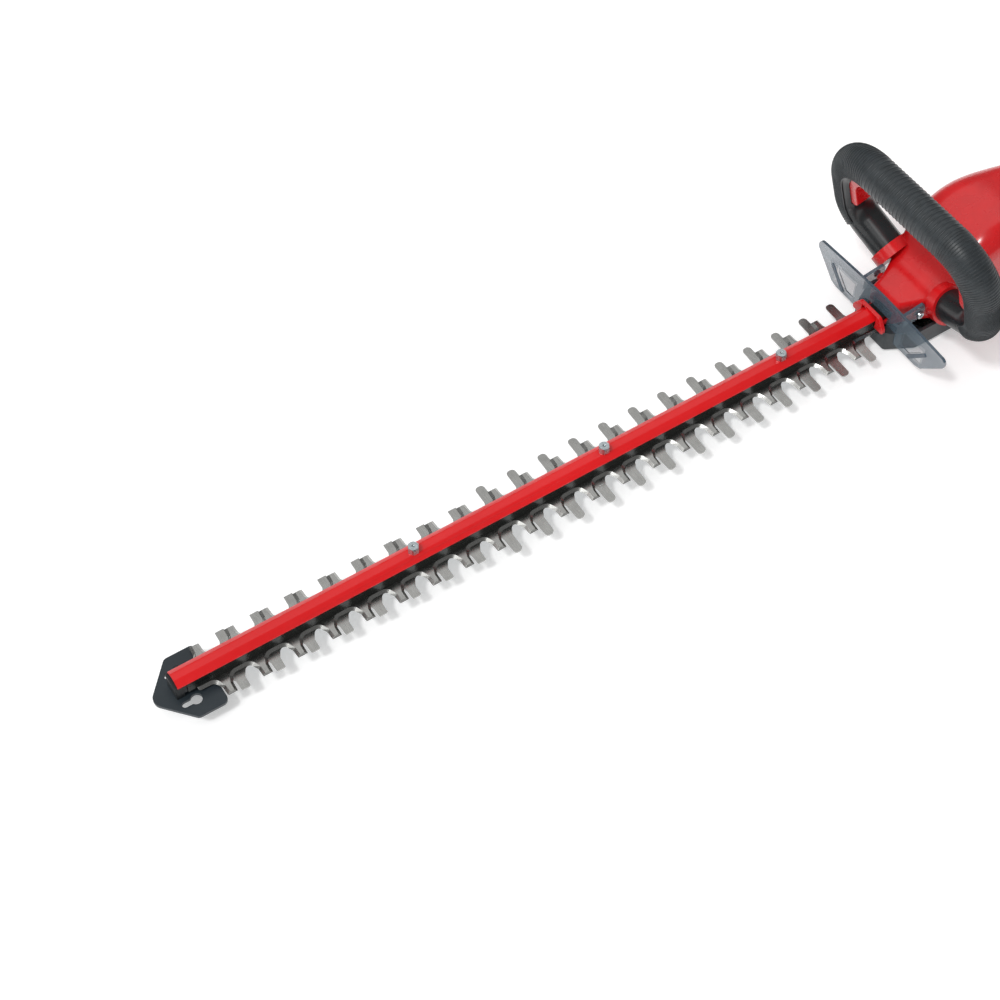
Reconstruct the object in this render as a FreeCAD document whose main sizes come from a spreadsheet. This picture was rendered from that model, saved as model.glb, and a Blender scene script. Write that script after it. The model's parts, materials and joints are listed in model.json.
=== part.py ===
"""Cordless hedge trimmer, double-action blades, built piece by piece.

Frame, in millimetres: +X runs from the blade tip to the battery, +Y to the left side of the tool
and +Z up.  The origin is on the resting surface, straight below the crank shaft.
"""
import FreeCAD, Part
import Sketcher
import math
import os
import re

V = FreeCAD.Vector
doc = FreeCAD.newDocument("HedgeTrimmer")

# ---------------------------------------------------------------- driving dimensions
sheet = doc.addObject("Spreadsheet::Sheet", "Sizes")

DIMENSIONS = [
    # cutting bar
    ("tooth_pitch", 29.0),
    ("teeth_long", 13),
    ("teeth_short", 8),
    ("tooth_first", -657.0),
    ("tooth_stagger", 5.85),
    ("blade_offset", 7.25),
    ("blade_level", 18.0),
    ("blade_thick", 1.95),
    ("blade_gap", 0.1),
    ("blade_spine", 11.0),
    ("gullet_radius", 5.0),
    ("long_reach", 34.0),
    ("long_width", 8.4),
    ("short_reach", 26.8),
    ("upper_reach", 25.6),
    ("short_width", 8.0),
    ("root_width", 12.6),
    ("root_reach", 17.0),
    ("bevel_width", 2.2),
    ("under_bevel", 0.6),
    ("lower_front", -686.5),
    ("upper_front", -693.0),
    ("slide_gap", 0.1),
    ("rail_thick", 1.5),
    ("rail_width", 16.0),
    ("carrier_width", 17.2),
    ("carrier_height", 9.9),
    ("carrier_front", -700.0),
    ("carrier_back", -31.0),
    ("cover_front", -707.2),
    ("cover_back", -60.0),
    ("cover_width", 17.0),
    ("cover_flat", 6.4),
    ("cover_height", 4.6),
    ("cover_wall", 1.2),
    ("bolt_first", -504.0),
    ("bolt_pitches", 6),
    ("bolt_count", 3),
    ("bolt_shank", 2.5),
    ("bolt_flats", 8.0),
    ("bolt_head", 6.4),
    ("bolt_play", 0.3),
    ("spacer_radius", 4.0),
    # tip guard
    ("tip_front", -724.5),
    ("tip_back", -677.5),
    ("tip_taper", -702.3),
    ("tip_half", 28.5),
    ("tip_nose", 8.0),
    ("tip_thick", 3.0),
    ("keyhole_x", -697.3),
    ("keyhole_y", 14.1),
    ("keyhole_head", 4.5),
    ("keyhole_neck", 2.5),
    ("keyhole_run", 9.0),
    # crank and gears
    ("throw", 7.25),
    ("shaft_radius", 5.0),
    ("cam_radius", 13.5),
    ("yoke_play", 0.75),
    ("yoke_frame", 6.75),
    ("crank_back", 90.0),
    ("crank_ahead", 30.0),
    ("slide_per_degree", 0.10472),
    ("gear_module", 1.5),
    ("gear_teeth", 34),
    ("pinion_teeth", 10),
    ("gear_low", 24.0),
    ("gear_face", 9.0),
    ("fit_play", 0.05),
    ("bearing_wall", 4.5),
    ("bearing_height", 7.0),
    # gearbox, motor
    ("gap", 0.3),
    ("foot_height", 2.0),
    ("tray_top", 22.0),
    ("tray_wall", 3.0),
    ("tray_front", -59.0),
    ("tray_back", 50.0),
    ("tray_half", 33.0),
    ("tray_nose", 20.0),
    ("bell_top", 39.0),
    ("motor_radius", 20.0),
    ("motor_wall", 1.5),
    ("motor_height", 44.0),
    ("rotor_radius", 14.0),
    ("motor_shaft", 2.5),
    ("fan_height", 6.0),
    # housing and handles
    ("shell_wall", 2.6),
    ("collar_front", -64.0),
    ("collar_thick", 3.6),
    ("guard_x", -53.0),
    ("guard_thick", 2.6),
    ("guard_half", 81.0),
    ("guard_top", 42.5),
    ("guard_low", 10.0),
    ("guard_crown", 47.0),
    ("guard_panel", 0.9),
    ("loop_x", -13.0),
    ("loop_z", 46.0),
    ("loop_lean", 16.6),
    ("loop_half", 81.0),
    ("loop_rise", 101.0),
    ("loop_root", 34.0),
    ("loop_tube", 14.5),
    ("loop_wall", 2.7),
    ("loop_corner", 36.0),
    ("grip_thick", 1.5),
    ("paddle_width", 19.0),
    ("paddle_low", 42.0),
    ("paddle_travel", 4.0),
    ("handle_back", 262.0),
    ("handle_half", 16.0),
    ("handle_axis", 90.0),
    ("beam_half", 26.0),
    ("beam_top", 40.0),
    ("beam_low", 6.0),
    ("dock_x", 276.0),
    ("dock_half", 37.0),
    ("dock_top", 100.0),
    ("battery_depth", 58.0),
    ("battery_low", 12.0),
    ("battery_top", 96.0),
    ("battery_half", 36.0),
    ("battery_wall", 2.4),
    ("cell_radius", 9.1),
    ("cell_length", 65.0),
    ("screw_radius", 2.0),
]
for row, (alias, number) in enumerate(DIMENSIONS, start=1):
    sheet.set(f"A{row}", alias)
    sheet.set(f"B{row}", str(number))
    sheet.setAlias(f"B{row}", alias)
doc.recompute()


class SheetValues:
    """Reads a driving dimension from the spreadsheet by its name."""

    def __getattr__(self, alias):
        return float(sheet.get(alias))


S = SheetValues()
NODES = []


# ---------------------------------------------------------------- small helpers
def tie(obj, prop, words):
    """Bind a property to an expression in which every word is a name in the sheet."""
    obj.setExpression(prop, re.sub(r"[a-z_]+", r"Sizes.\g<0>", str(words)))


def put(obj, x, y, z, turn=None):
    """Place an object at an expression of the sheet's names, turned first if asked."""
    if turn:
        obj.Placement = FreeCAD.Placement(V(0, 0, 0), turn)
    for axis, words in zip("xyz", (x, y, z)):
        tie(obj, f"Placement.Base.{axis}", words)
    return obj


def box(name, x, y, z, length, width, height):
    """A Part::Box from its low corner; y is its middle."""
    obj = doc.addObject("Part::Box", name)
    tie(obj, "Length", length)
    tie(obj, "Width", width)
    tie(obj, "Height", height)
    return put(obj, x, f"({y}) - ({width}) / 2", z)


ALONG = {
    "z": None,
    "y": FreeCAD.Rotation(V(1, 0, 0), -90),
    "x": FreeCAD.Rotation(V(0, 1, 0), 90),
}


def rod(name, radius, height, x, y, z, along="z"):
    """A Part::Cylinder that starts at x, y, z and runs along one axis."""
    obj = doc.addObject("Part::Cylinder", name)
    tie(obj, "Radius", radius)
    tie(obj, "Height", height)
    return put(obj, x, y, z, ALONG[along])


def hexagon(name, across, height, x, y, z):
    """A hexagonal prism, given its width across flats."""
    obj = doc.addObject("Part::Prism", name)
    obj.Polygon = 6
    tie(obj, "Circumradius", f"({across}) / 1.7320508")
    tie(obj, "Height", height)
    return put(obj, x, y, z)


def cut(name, base, *tools):
    """Base minus its tools, as nested Part::Cut features."""
    for number, tool in enumerate(tools, start=1):
        obj = doc.addObject("Part::Cut", name if number == len(tools) else f"{name}_cut{number}")
        obj.Base = base
        obj.Tool = tool
        base = obj
    return base


def fuse(name, *pieces):
    """Several features joined as one Part::MultiFuse."""
    obj = doc.addObject("Part::MultiFuse", name)
    obj.Shapes = list(pieces)
    return obj


def group(name, pieces):
    """Like pieces kept as separate solids of one Part::Compound."""
    obj = doc.addObject("Part::Compound", name)
    obj.Links = list(pieces)
    return obj


def feature(name, shape):
    """A Part::Feature for a shape that no parametric feature makes directly."""
    obj = doc.addObject("Part::Feature", name)
    placement = shape.Placement
    obj.Shape = shape
    obj.Placement = placement
    return obj


def node(obj, label):
    """Mark an object as a finished sub-part; its label names its file."""
    obj.Label = label
    NODES.append(obj)
    return obj


def turned(name, outer, inner, height, x, y, z):
    """A ring or disc about a vertical axis: a PartDesign body with one padded sketch."""
    body = doc.addObject("PartDesign::Body", name)
    sketch = body.newObject("Sketcher::SketchObject", f"{name}_sketch")
    plane = [item for item in body.Origin.OriginFeatures if item.Role == "XY_Plane"][0]
    sketch.AttachmentSupport = [(plane, "")]
    sketch.MapMode = "FlatFace"
    radii = [("outer", outer)] + ([("inner", inner)] if inner else [])
    for number, (title, words) in enumerate(radii):
        start_radius = 20.0 - 10.0 * number
        sketch.addGeometry(Part.Circle(V(0, 0, 0), V(0, 0, 1), start_radius), False)
        sketch.addConstraint(Sketcher.Constraint("Coincident", number, 3, -1, 1))
        index = sketch.addConstraint(Sketcher.Constraint("Radius", number, start_radius))
        sketch.renameConstraint(index, title)
        tie_constraint(sketch, title, words)
    pad = body.newObject("PartDesign::Pad", f"{name}_pad")
    pad.Profile = sketch
    tie(pad, "Length", height)
    return put(body, x, y, z)


def tie_constraint(sketch, title, words):
    """Bind a named sketch constraint to an expression of the sheet's names."""
    sketch.setExpression(f"Constraints.{title}", re.sub(r"[a-z_]+", r"Sizes.\g<0>", str(words)))


def rounded(points, place=lambda a, b: V(a, b, 0), closed=True):
    """A wire through corners (a, b, radius): straight runs joined by tangent arcs."""
    corners = [(V(p[0], p[1], 0), p[2] if len(p) > 2 else 0.0) for p in points]
    count = len(corners)
    stops = []
    for index, (corner, radius) in enumerate(corners):
        end = not closed and index in (0, count - 1)
        if radius <= 0 or end:
            stops.append((corner, None, corner))
            continue
        back = corners[index - 1][0] - corner
        ahead = corners[(index + 1) % count][0] - corner
        back.normalize()
        ahead.normalize()
        half = back.getAngle(ahead) / 2
        reach = radius / math.tan(half)
        bisector = back + ahead
        bisector.normalize()
        middle = corner + bisector * (radius / math.sin(half) - radius)
        stops.append((corner + back * reach, middle, corner + ahead * reach))
    edges = []
    for index, (enter, middle, leave) in enumerate(stops):
        if middle is not None:
            arc = Part.Arc(*(place(p.x, p.y) for p in (enter, middle, leave)))
            edges.append(arc.toShape())
        if index == count - 1 and not closed:
            break
        following = stops[(index + 1) % count][0]
        if (following - leave).Length > 1e-6:
            edges.append(Part.makeLine(place(leave.x, leave.y), place(following.x, following.y)))
    return Part.Wire(edges)


def slab(points, low, high):
    """A flat plate with a rounded outline in X and Y, from one height to another."""
    outline = rounded(points, lambda a, b: V(a, b, low))
    return Part.Face(outline).extrude(V(0, 0, high - low))


def upright(points, x, thick):
    """A flat plate with a rounded outline in Y and Z, standing across the tool."""
    outline = rounded(points, lambda a, b: V(x, a, b))
    return Part.Face(outline).extrude(V(thick, 0, 0))


def both_sides(points):
    """A closed outline: the given half, from front to back, and its mirror image in Y."""
    mirror = [(p[0], -p[1], *p[2:]) for p in reversed(points)]
    return list(points) + mirror


# ---------------------------------------------------------------- cutting blades
UPPER_Z = S.blade_level + S.blade_gap / 2
LOWER_Z = S.blade_level - S.blade_gap / 2 - S.blade_thick
TRAVEL_LONG = S.crank_back * S.slide_per_degree
TRAVEL_SHORT = S.crank_ahead * S.slide_per_degree
BOLT_X = [S.bolt_first + k * S.bolt_pitches * S.tooth_pitch for k in range(int(S.bolt_count))]


def tooth(x, reach, width, inset, tip_round):
    """Corners of one tooth on the +Y side, from its front root to its back root."""
    root = S.root_width / 2 - inset
    half = width / 2 - inset
    spine = S.blade_spine - inset
    corner_radius = S.gullet_radius + inset
    flare = S.root_reach - S.blade_spine
    return [
        (x - root - flare * 0.25, spine, corner_radius),
        (x - half, S.root_reach + 1.0, 3.0),
        (x - half + 0.3, reach - inset * 0.5, tip_round),
        (x + half - 0.3, reach - inset * 0.5, tip_round),
        (x + half, S.root_reach + 1.0, 3.0),
        (x + root + flare * 0.25, spine, corner_radius),
    ]


def blade_side(first, kinds, inset):
    """The corners of one toothed side; kinds says which teeth are long."""
    corners = []
    for number, kind in enumerate(kinds):
        x = first + number * S.tooth_pitch
        if kind == "long":
            corners += tooth(x, S.long_reach, S.long_width, inset, S.long_width / 2 - 0.9 - inset)
        elif kind == "short":
            corners += tooth(x, S.short_reach, S.short_width, inset, 0.6)
        else:
            corners += tooth(x, S.upper_reach, S.short_width + 0.4, inset, 0.4)
    return corners


def yoke_corners(slot_x):
    """The broad frame at the back of a blade, round the cam's slot, on the +Y side."""
    half = S.cam_radius + S.yoke_play + S.yoke_frame
    reach = S.cam_radius + S.throw + 0.5 + S.yoke_frame
    return [
        (slot_x - half - 8.0, S.blade_spine, 6.0),
        (slot_x - half, reach, 6.0),
        (slot_x + half, reach, 6.0),
    ]


def blade_outline(front_x, far_first, near_first, kinds, slot_x, inset, z):
    """The whole outline of a blade at one height."""
    front = (front_x, S.blade_spine - inset, 2.5)
    far = [front] + blade_side(far_first, kinds, inset) + yoke_corners(slot_x)
    near = [front] + blade_side(near_first, kinds, inset) + yoke_corners(slot_x)
    mirror = [(p[0], -p[1], p[2]) for p in reversed(near)]
    return rounded(far + mirror, lambda a, b: V(a, b, z))


def ruled_solid(lower, upper):
    """A solid between two outlines with matching edges, with ruled flanks."""
    faces = [Part.Face(lower), Part.Face(upper)]
    for low_edge, high_edge in zip(lower.Edges, upper.Edges):
        faces.append(Part.makeRuledSurface(low_edge, high_edge))
    shell = Part.Shell(faces)
    shell.sewShape()
    solid = Part.Solid(shell)
    if solid.Volume < 0:
        solid.reverse()
    return solid


def slot_cutter(x_low, x_high, half_width, z, height):
    """A round-ended slot along X."""
    corners = [
        (x_low - half_width, half_width, half_width - 0.01),
        (x_high + half_width, half_width, half_width - 0.01),
    ]
    return slab(both_sides(corners), z, z + height)


def blade(teeth, slot_x, z, insets, back, ahead):
    """A toothed blade with its bolt slots and the cam's slot; back and ahead are its travel."""
    lower = blade_outline(*teeth, slot_x, insets[0], z)
    upper = blade_outline(*teeth, slot_x, insets[1], z + S.blade_thick)
    solid = ruled_solid(lower, upper)
    tall = S.blade_thick + 2.0
    half = S.spacer_radius + S.bolt_play
    for x in BOLT_X:
        solid = solid.cut(slot_cutter(x - ahead, x + back, half, z - 1.0, tall))
    wide = S.cam_radius + S.yoke_play
    deep = S.cam_radius + S.throw + 0.5
    corner = 4.0
    slot = both_sides([(slot_x - wide, deep, corner), (slot_x + wide, deep, corner)])
    return solid.cut(slab(slot, z - 1.0, z - 1.0 + tall))


LONG_AND_SHORT = ["short"] * int(S.teeth_short) + ["long"] * int(S.teeth_long)
CUTTERS = ["cutter"] * (int(S.teeth_short) + int(S.teeth_long))
UPPER_FIRST = S.tooth_first + S.blade_offset - S.tooth_pitch

LOWER_TEETH = (S.lower_front, S.tooth_first, S.tooth_first - S.tooth_stagger, LONG_AND_SHORT)
UPPER_TEETH = (S.upper_front, UPPER_FIRST, UPPER_FIRST + S.tooth_stagger, CUTTERS)

lower_blade = feature("LowerBlade", blade(
    LOWER_TEETH, -TRAVEL_SHORT, LOWER_Z, (S.under_bevel, 0.0), TRAVEL_SHORT, TRAVEL_LONG))
node(lower_blade, "lower_blade")

upper_blade = feature("UpperBlade", blade(
    UPPER_TEETH, TRAVEL_SHORT, UPPER_Z, (0.0, S.bevel_width), TRAVEL_LONG, TRAVEL_SHORT))
node(upper_blade, "upper_blade")

# ---------------------------------------------------------------- cutting bar
carrier_z = "blade_level + blade_gap / 2 + blade_thick + slide_gap"
cover_z = f"{carrier_z} + carrier_height"
rail_z = "blade_level - blade_gap / 2 - blade_thick - slide_gap - rail_thick"
CARRIER_Z = UPPER_Z + S.blade_thick + S.slide_gap
COVER_Z = CARRIER_Z + S.carrier_height
RAIL_Z = LOWER_Z - S.slide_gap - S.rail_thick
COVER_TOP = COVER_Z + S.cover_height
TIP_Z = RAIL_Z + S.rail_thick - S.tip_thick
CARRIER_SCREWS = (-41.5, -34.5)


def bolt_holes(name, z, height, radius="bolt_shank + fit_play"):
    """One hole for each bar bolt."""
    holes = []
    for number in range(int(S.bolt_count)):
        place = f"bolt_first + {number} * bolt_pitches * tooth_pitch"
        holes.append(rod(f"{name}_hole{number}", radius, height, place, 0, z))
    return holes


carrier_bar = box("CarrierBar", "carrier_front", 0, carrier_z,
                  "carrier_back - carrier_front", "carrier_width", "carrier_height")
carrier_taps = [rod(f"carrier_tap{number}", "screw_radius + fit_play", 20, place, 0, carrier_z)
                for number, place in enumerate(CARRIER_SCREWS)]
node(cut("BladeCarrier", carrier_bar, *carrier_taps,
         *bolt_holes("carrier", f"{carrier_z} - 1", "carrier_height + 2")), "blade_carrier")

lower_rail = box("LowerRailBar", "tip_back + 3", 0, rail_z,
                 "carrier_back - tip_back - 3 - yoke_frame", "rail_width", "rail_thick")
node(cut("LowerRail", lower_rail, *bolt_holes("rail", f"{rail_z} - 1", "rail_thick + 2")),
     "lower_rail")


def cover_section(inset, low):
    """The arched section of the bar cover, in Y and Z at the cover's front end."""
    half = S.cover_width / 2 - inset
    flat = S.cover_flat / 2 - inset * 0.4
    top = COVER_TOP - inset
    shoulder = COVER_Z + 0.9
    arch = 2.4
    corners = [(-half, low), (-half, shoulder, 1.0), (-flat, top, arch),
               (flat, top, arch), (half, shoulder, 1.0), (half, low)]
    return Part.Face(rounded(corners, lambda a, b: V(S.cover_front, a, b)))


cover_length = S.cover_back - S.cover_front
cover_outer = cover_section(0.0, COVER_Z).extrude(V(cover_length, 0, 0))
cover_inner = cover_section(S.cover_wall, COVER_Z - 1.0).extrude(V(cover_length, 0, 0))
cover_shape = cover_outer.cut(cover_inner)
SEAT_RADIUS = S.bolt_flats * 0.62
for x in BOLT_X:
    seat = Part.makeCylinder(SEAT_RADIUS, COVER_TOP - S.cover_wall - COVER_Z, V(x, 0, COVER_Z))
    hole = Part.makeCylinder(S.bolt_shank + S.fit_play, S.cover_height + 2, V(x, 0, COVER_Z - 1))
    cover_shape = cover_shape.fuse(seat).cut(hole)
node(feature("BarCover", cover_shape.removeSplitter()), "bar_cover")

bolts = []
nuts = []
spacers = []
for number in range(int(S.bolt_count)):
    place = f"bolt_first + {number} * bolt_pitches * tooth_pitch"
    head = hexagon(f"Bolt{number}_head", "bolt_flats", "bolt_head", place, 0,
                   f"{cover_z} + cover_height")
    shank = rod(f"Bolt{number}_shank", "bolt_shank",
                f"{cover_z} + cover_height - ({rail_z}) + 6.5 + 1", place, 0, f"{rail_z} - 6.5")
    bolts.append(fuse(f"Bolt{number}", head, shank))
    nut = hexagon(f"Nut{number}_hex", "bolt_flats", "5", place, 0, f"{rail_z} - 5")
    nuts.append(cut(f"Nut{number}", nut, rod(f"Nut{number}_bore", "bolt_shank + fit_play", "7",
                                             place, 0, f"{rail_z} - 6")))
    spacers.append(turned(f"Spacer{number}", "spacer_radius", "bolt_shank + fit_play",
                          f"{carrier_z} - ({rail_z}) - rail_thick", place, "0",
                          f"{rail_z} + rail_thick"))
node(group("BarBolts", bolts), "bar_bolts")
node(group("BarNuts", nuts), "bar_nuts")
node(group("BarSpacers", spacers), "bar_spacers")

# tip guard: a flat arrowhead plate under the blades' ends, with a keyhole on each side
tip_corners = [
    (S.tip_front, S.tip_nose * 0.42, S.tip_nose),
    (S.tip_taper, S.tip_half, 5.0),
    (S.tip_back, S.tip_half, 5.0),
]
tip_plate = slab(both_sides(tip_corners), TIP_Z, TIP_Z + S.tip_thick)
for side in (-1, 1):
    y = side * S.keyhole_y
    high = S.tip_thick + 2.0
    head = Part.makeCylinder(S.keyhole_head, high, V(S.keyhole_x, y, TIP_Z - 1))
    end_x = S.keyhole_x - S.keyhole_run
    neck = Part.makeCylinder(S.keyhole_neck, high, V(end_x, y, TIP_Z - 1))
    run = Part.makeBox(S.keyhole_run, 2 * S.keyhole_neck, high,
                       V(end_x, y - S.keyhole_neck, TIP_Z - 1))
    tip_plate = tip_plate.cut(head).cut(neck).cut(run)
screw_x = S.cover_front + 1.0
tip_plate = tip_plate.cut(Part.makeCylinder(
    S.screw_radius + S.fit_play, 10, V(screw_x, 0, TIP_Z - 1)))
node(feature("TipGuard", tip_plate), "tip_guard")

# nose block: stands on the plate ahead of the blades and reaches back to the carrier
block_z = f"{rail_z} + rail_thick"
block_front = "cover_front - 2.3"
block_back = "upper_front - slide_per_degree * crank_back - 4 * slide_gap"
block_foot = box("NoseBlockFoot", block_front, 0, block_z, f"{block_back} - ({block_front})",
                 "carrier_width - 1.2", f"{cover_z} - slide_gap - ({block_z})")
block_head = box("NoseBlockHead", block_front, 0, carrier_z, f"carrier_front - ({block_front})",
                 "carrier_width - 1.2", "carrier_height - slide_gap")
block_bore = rod("NoseBlockBore", "screw_radius - 0.2", 8, "cover_front + 1", 0, f"{block_z} - 1")
node(cut("NoseBlock", fuse("NoseBlockBody", block_foot, block_head), block_bore), "nose_block")
plate_z = f"{block_z} - tip_thick"
tip_screw_head = rod("TipScrewHead", "screw_radius * 2", 2, "cover_front + 1", 0,
                     f"{plate_z} - 2")
tip_screw_shank = rod("TipScrewShank", "screw_radius - 0.25", "tip_thick + 8",
                      "cover_front + 1", 0, f"{plate_z} - 1")
node(fuse("TipScrew", tip_screw_head, tip_screw_shank), "tip_screw")

# ---------------------------------------------------------------- crank, gears and bearings
CRANK_PHASE = math.radians(S.crank_ahead)
CAM_X = S.throw * math.sin(CRANK_PHASE)
CAM_Y = S.throw * math.cos(CRANK_PHASE)
SHAFT_LOW = 5.0
SHAFT_HIGH = S.bell_top - 0.5
MID_Z = S.blade_level
cam_high = S.gear_low - S.slide_gap - MID_Z
crank = Part.makeCylinder(S.shaft_radius, SHAFT_HIGH - SHAFT_LOW, V(0, 0, SHAFT_LOW))
crank = crank.fuse(Part.makeCylinder(S.cam_radius, cam_high * 0.6, V(CAM_X, CAM_Y, MID_Z)))
crank = crank.fuse(Part.makeCylinder(S.cam_radius, 3.6, V(-CAM_X, -CAM_Y, MID_Z - 3.6)))
node(feature("CrankShaft", crank.removeSplitter()), "crank_shaft")


def gear_shape(teeth, bore, low, face, turn, backlash=0.16):
    """A spur gear with straight-flanked teeth; turn sets the angle of its first tooth."""
    pitch_radius = S.gear_module * teeth / 2
    tip = pitch_radius + 0.85 * S.gear_module
    root = pitch_radius - 1.1 * S.gear_module
    step = 2 * math.pi / teeth
    thick = step / 4 * (1 - backlash)
    lean = 0.42 * S.gear_module / pitch_radius
    corners = []
    for number in range(teeth):
        middle = turn + number * step
        for angle, radius in ((-thick - lean, root), (-thick + lean * 0.75, tip),
                              (thick - lean * 0.75, tip), (thick + lean, root)):
            corners.append(V(radius * math.cos(middle + angle), radius * math.sin(middle + angle), low))
    wire = Part.makePolygon(corners + corners[:1])
    blank = Part.Face(wire).extrude(V(0, 0, face))
    return blank.cut(Part.makeCylinder(bore, face + 2, V(0, 0, low - 1)))


DRIVE_TEETH = int(S.gear_teeth)
PINION_TEETH = int(S.pinion_teeth)
GEAR_CENTRES = S.gear_module * (DRIVE_TEETH + PINION_TEETH) / 2
gear = gear_shape(DRIVE_TEETH, S.shaft_radius, S.gear_low, S.gear_face, 0.0)
web = Part.makeCylinder(S.gear_module * DRIVE_TEETH / 2 - 5.0, 2.0, V(0, 0, S.gear_low + S.gear_face - 2.0))
hub = Part.makeCylinder(S.shaft_radius + 4.0, 4.0, V(0, 0, S.gear_low + S.gear_face - 3.0))
node(feature("DriveGear", gear.cut(web.cut(hub))), "drive_gear")

pinion = gear_shape(PINION_TEETH, S.motor_shaft, S.gear_low, S.gear_face,
                    math.pi - math.pi / PINION_TEETH)
pinion.translate(V(GEAR_CENTRES, 0, 0))
node(feature("Pinion", pinion), "pinion")

centres = "(gear_module * (gear_teeth + pinion_teeth) / 2)"
bearing_outer = "shaft_radius + bearing_wall"
lower_bearing = turned("LowerBearing", bearing_outer, "shaft_radius + fit_play",
                       "bearing_height", "0", "0", "5")
upper_bearing = turned("UpperBearing", bearing_outer, "shaft_radius + fit_play",
                       "bell_top - gear_low - gear_face - 0.8", "0", "0",
                       "gear_low + gear_face + 0.4")
node(group("CrankBearings", [lower_bearing, upper_bearing]), "crank_bearings")

# ---------------------------------------------------------------- gearbox castings
TRAY_LOW = S.foot_height
YOKE_X = S.cam_radius + S.yoke_play + S.yoke_frame
tray_corners = [
    (S.tray_front, S.tray_nose, 4.0),
    (S.tray_front + 24.0, S.tray_half, 10.0),
    (S.tray_back, S.tray_half, 12.0),
]
tray = slab(both_sides(tray_corners), TRAY_LOW, S.tray_top)
well_half = S.tray_half - S.tray_wall
room = 1.5
well_reach = YOKE_X + 2 * TRAVEL_SHORT + room
well_corners = [
    (-well_reach - 8.0, well_half, 4.0),
    (well_reach, well_half, 4.0),
]
tray = tray.cut(slab(both_sides(well_corners), RAIL_Z - 0.5, S.tray_top + 1))
throat = Part.makeBox(S.tray_half * 2, 2 * (S.blade_spine + 1.0), S.tray_top, V(
    S.tray_front - 1, -S.blade_spine - 1.0, RAIL_Z - S.gap))
tray = tray.cut(throat)
tray = tray.cut(Part.makeCylinder(S.shaft_radius + S.bearing_wall, 20, V(0, 0, 5)))
tray = tray.cut(Part.makeCylinder(9.0, 20, V(GEAR_CENTRES, 0, RAIL_Z - 0.5)))
TRAY_SCREWS = [(S.tray_back - 9.0, -22.0), (S.tray_back - 9.0, 22.0)]
tray_screws = []
for x, y in TRAY_SCREWS:
    tray = tray.cut(Part.makeCylinder(S.screw_radius + S.fit_play, 30, V(x, y, 0)))
    tray = tray.cut(Part.makeCylinder(2 * S.screw_radius + S.gap, 4.0, V(x, y, TRAY_LOW - 1)))
    head = Part.makeCylinder(2 * S.screw_radius, 2.0, V(x, y, TRAY_LOW + 1))
    tray_screws.append(head.fuse(Part.makeCylinder(S.screw_radius, S.tray_top - 1.5, V(x, y, TRAY_LOW + 1))))
node(feature("GearTray", tray), "gearbox_tray")

BELL_LOW = S.tray_top
bell_radius = S.gear_module * (DRIVE_TEETH / 2 + 0.85) + S.gap + 2.5
pinion_room = S.gear_module * (PINION_TEETH / 2 + 0.85) + S.gap + 2.5


def bell_body(shrink, low, high):
    """The rounded casing round both gears, shrunk by a wall."""
    big = Part.makeCylinder(bell_radius - shrink, high - low, V(0, 0, low))
    small = Part.makeCylinder(pinion_room - shrink, high - low, V(GEAR_CENTRES, 0, low))
    return big.fuse(small)


FLANGE = 2.2
BRIDGE = 4.0
BRIDGE_Z = COVER_Z + S.slide_gap
flange_corners = [(-28.0, 14.0, 6.0), (-10.0, 30.0, 8.0), (S.tray_back - 3.0, 31.0, 8.0)]
bell = bell_body(0.0, BELL_LOW, S.bell_top + 3.0)
bell = bell.fuse(slab(both_sides(flange_corners), BELL_LOW, BELL_LOW + FLANGE))
bridge = Part.makeBox(22.0, S.carrier_width, BRIDGE, V(-46.0, -S.carrier_width / 2, BRIDGE_Z))
bell = bell.fuse(bridge)
bell = bell.cut(bell_body(2.4, BELL_LOW - 1, S.gear_low + S.gear_face + 0.4 + S.gap))
bell = bell.cut(Part.makeCylinder(S.shaft_radius + S.bearing_wall, S.bell_top, V(0, 0, 0)))
bell = bell.cut(Part.makeCylinder(7.5, 60, V(GEAR_CENTRES, 0, 0)))
carrier_room = Part.makeBox(30.0, S.carrier_width + 2 * S.slide_gap, BRIDGE_Z, V(
    S.carrier_back + S.gap - 30.0, -S.carrier_width / 2 - S.slide_gap, 0))
bell = bell.cut(carrier_room)
for x, y in TRAY_SCREWS:
    bell = bell.cut(Part.makeCylinder(S.screw_radius + S.fit_play, 30, V(x, y, 0)))
for x in CARRIER_SCREWS:
    bell = bell.cut(Part.makeCylinder(S.screw_radius + S.fit_play, 60, V(x, 0, 0)))
    head = Part.makeCylinder(2 * S.screw_radius, 2.0, V(x, 0, BRIDGE_Z + BRIDGE))
    shank = Part.makeCylinder(S.screw_radius, BRIDGE + 7.0, V(x, 0, BRIDGE_Z - 7.0))
    tray_screws.append(head.fuse(shank))
node(feature("GearBell", bell.removeSplitter()), "gearbox_bell")
node(feature("GearboxScrews", Part.makeCompound(tray_screws)), "gearbox_screws")

# ---------------------------------------------------------------- motor
motor_z = "bell_top + 3"
MOTOR_Z = S.bell_top + 3.0
can_outer = rod("CanOuter", "motor_radius", "motor_height", centres, 0, motor_z)
can_inner = rod("CanInner", "motor_radius - motor_wall", "motor_height - 2 * motor_wall",
                centres, 0, f"{motor_z} + motor_wall")
can_bore = rod("CanBore", "motor_shaft + fit_play", "motor_height + 10", centres, 0, f"{motor_z} - 5")
node(cut("MotorCan", can_outer, can_inner, can_bore), "motor_can")

shaft_low = "gear_low - 1"
rotor_shaft = rod("RotorShaft", "motor_shaft", f"{motor_z} + motor_height + fan_height + 1 - ({shaft_low})",
                  centres, 0, shaft_low)
rotor_core = rod("RotorCore", "rotor_radius", "motor_height - 16", centres, 0, f"{motor_z} + 8")
node(fuse("Rotor", rotor_shaft, rotor_core), "rotor")

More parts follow.
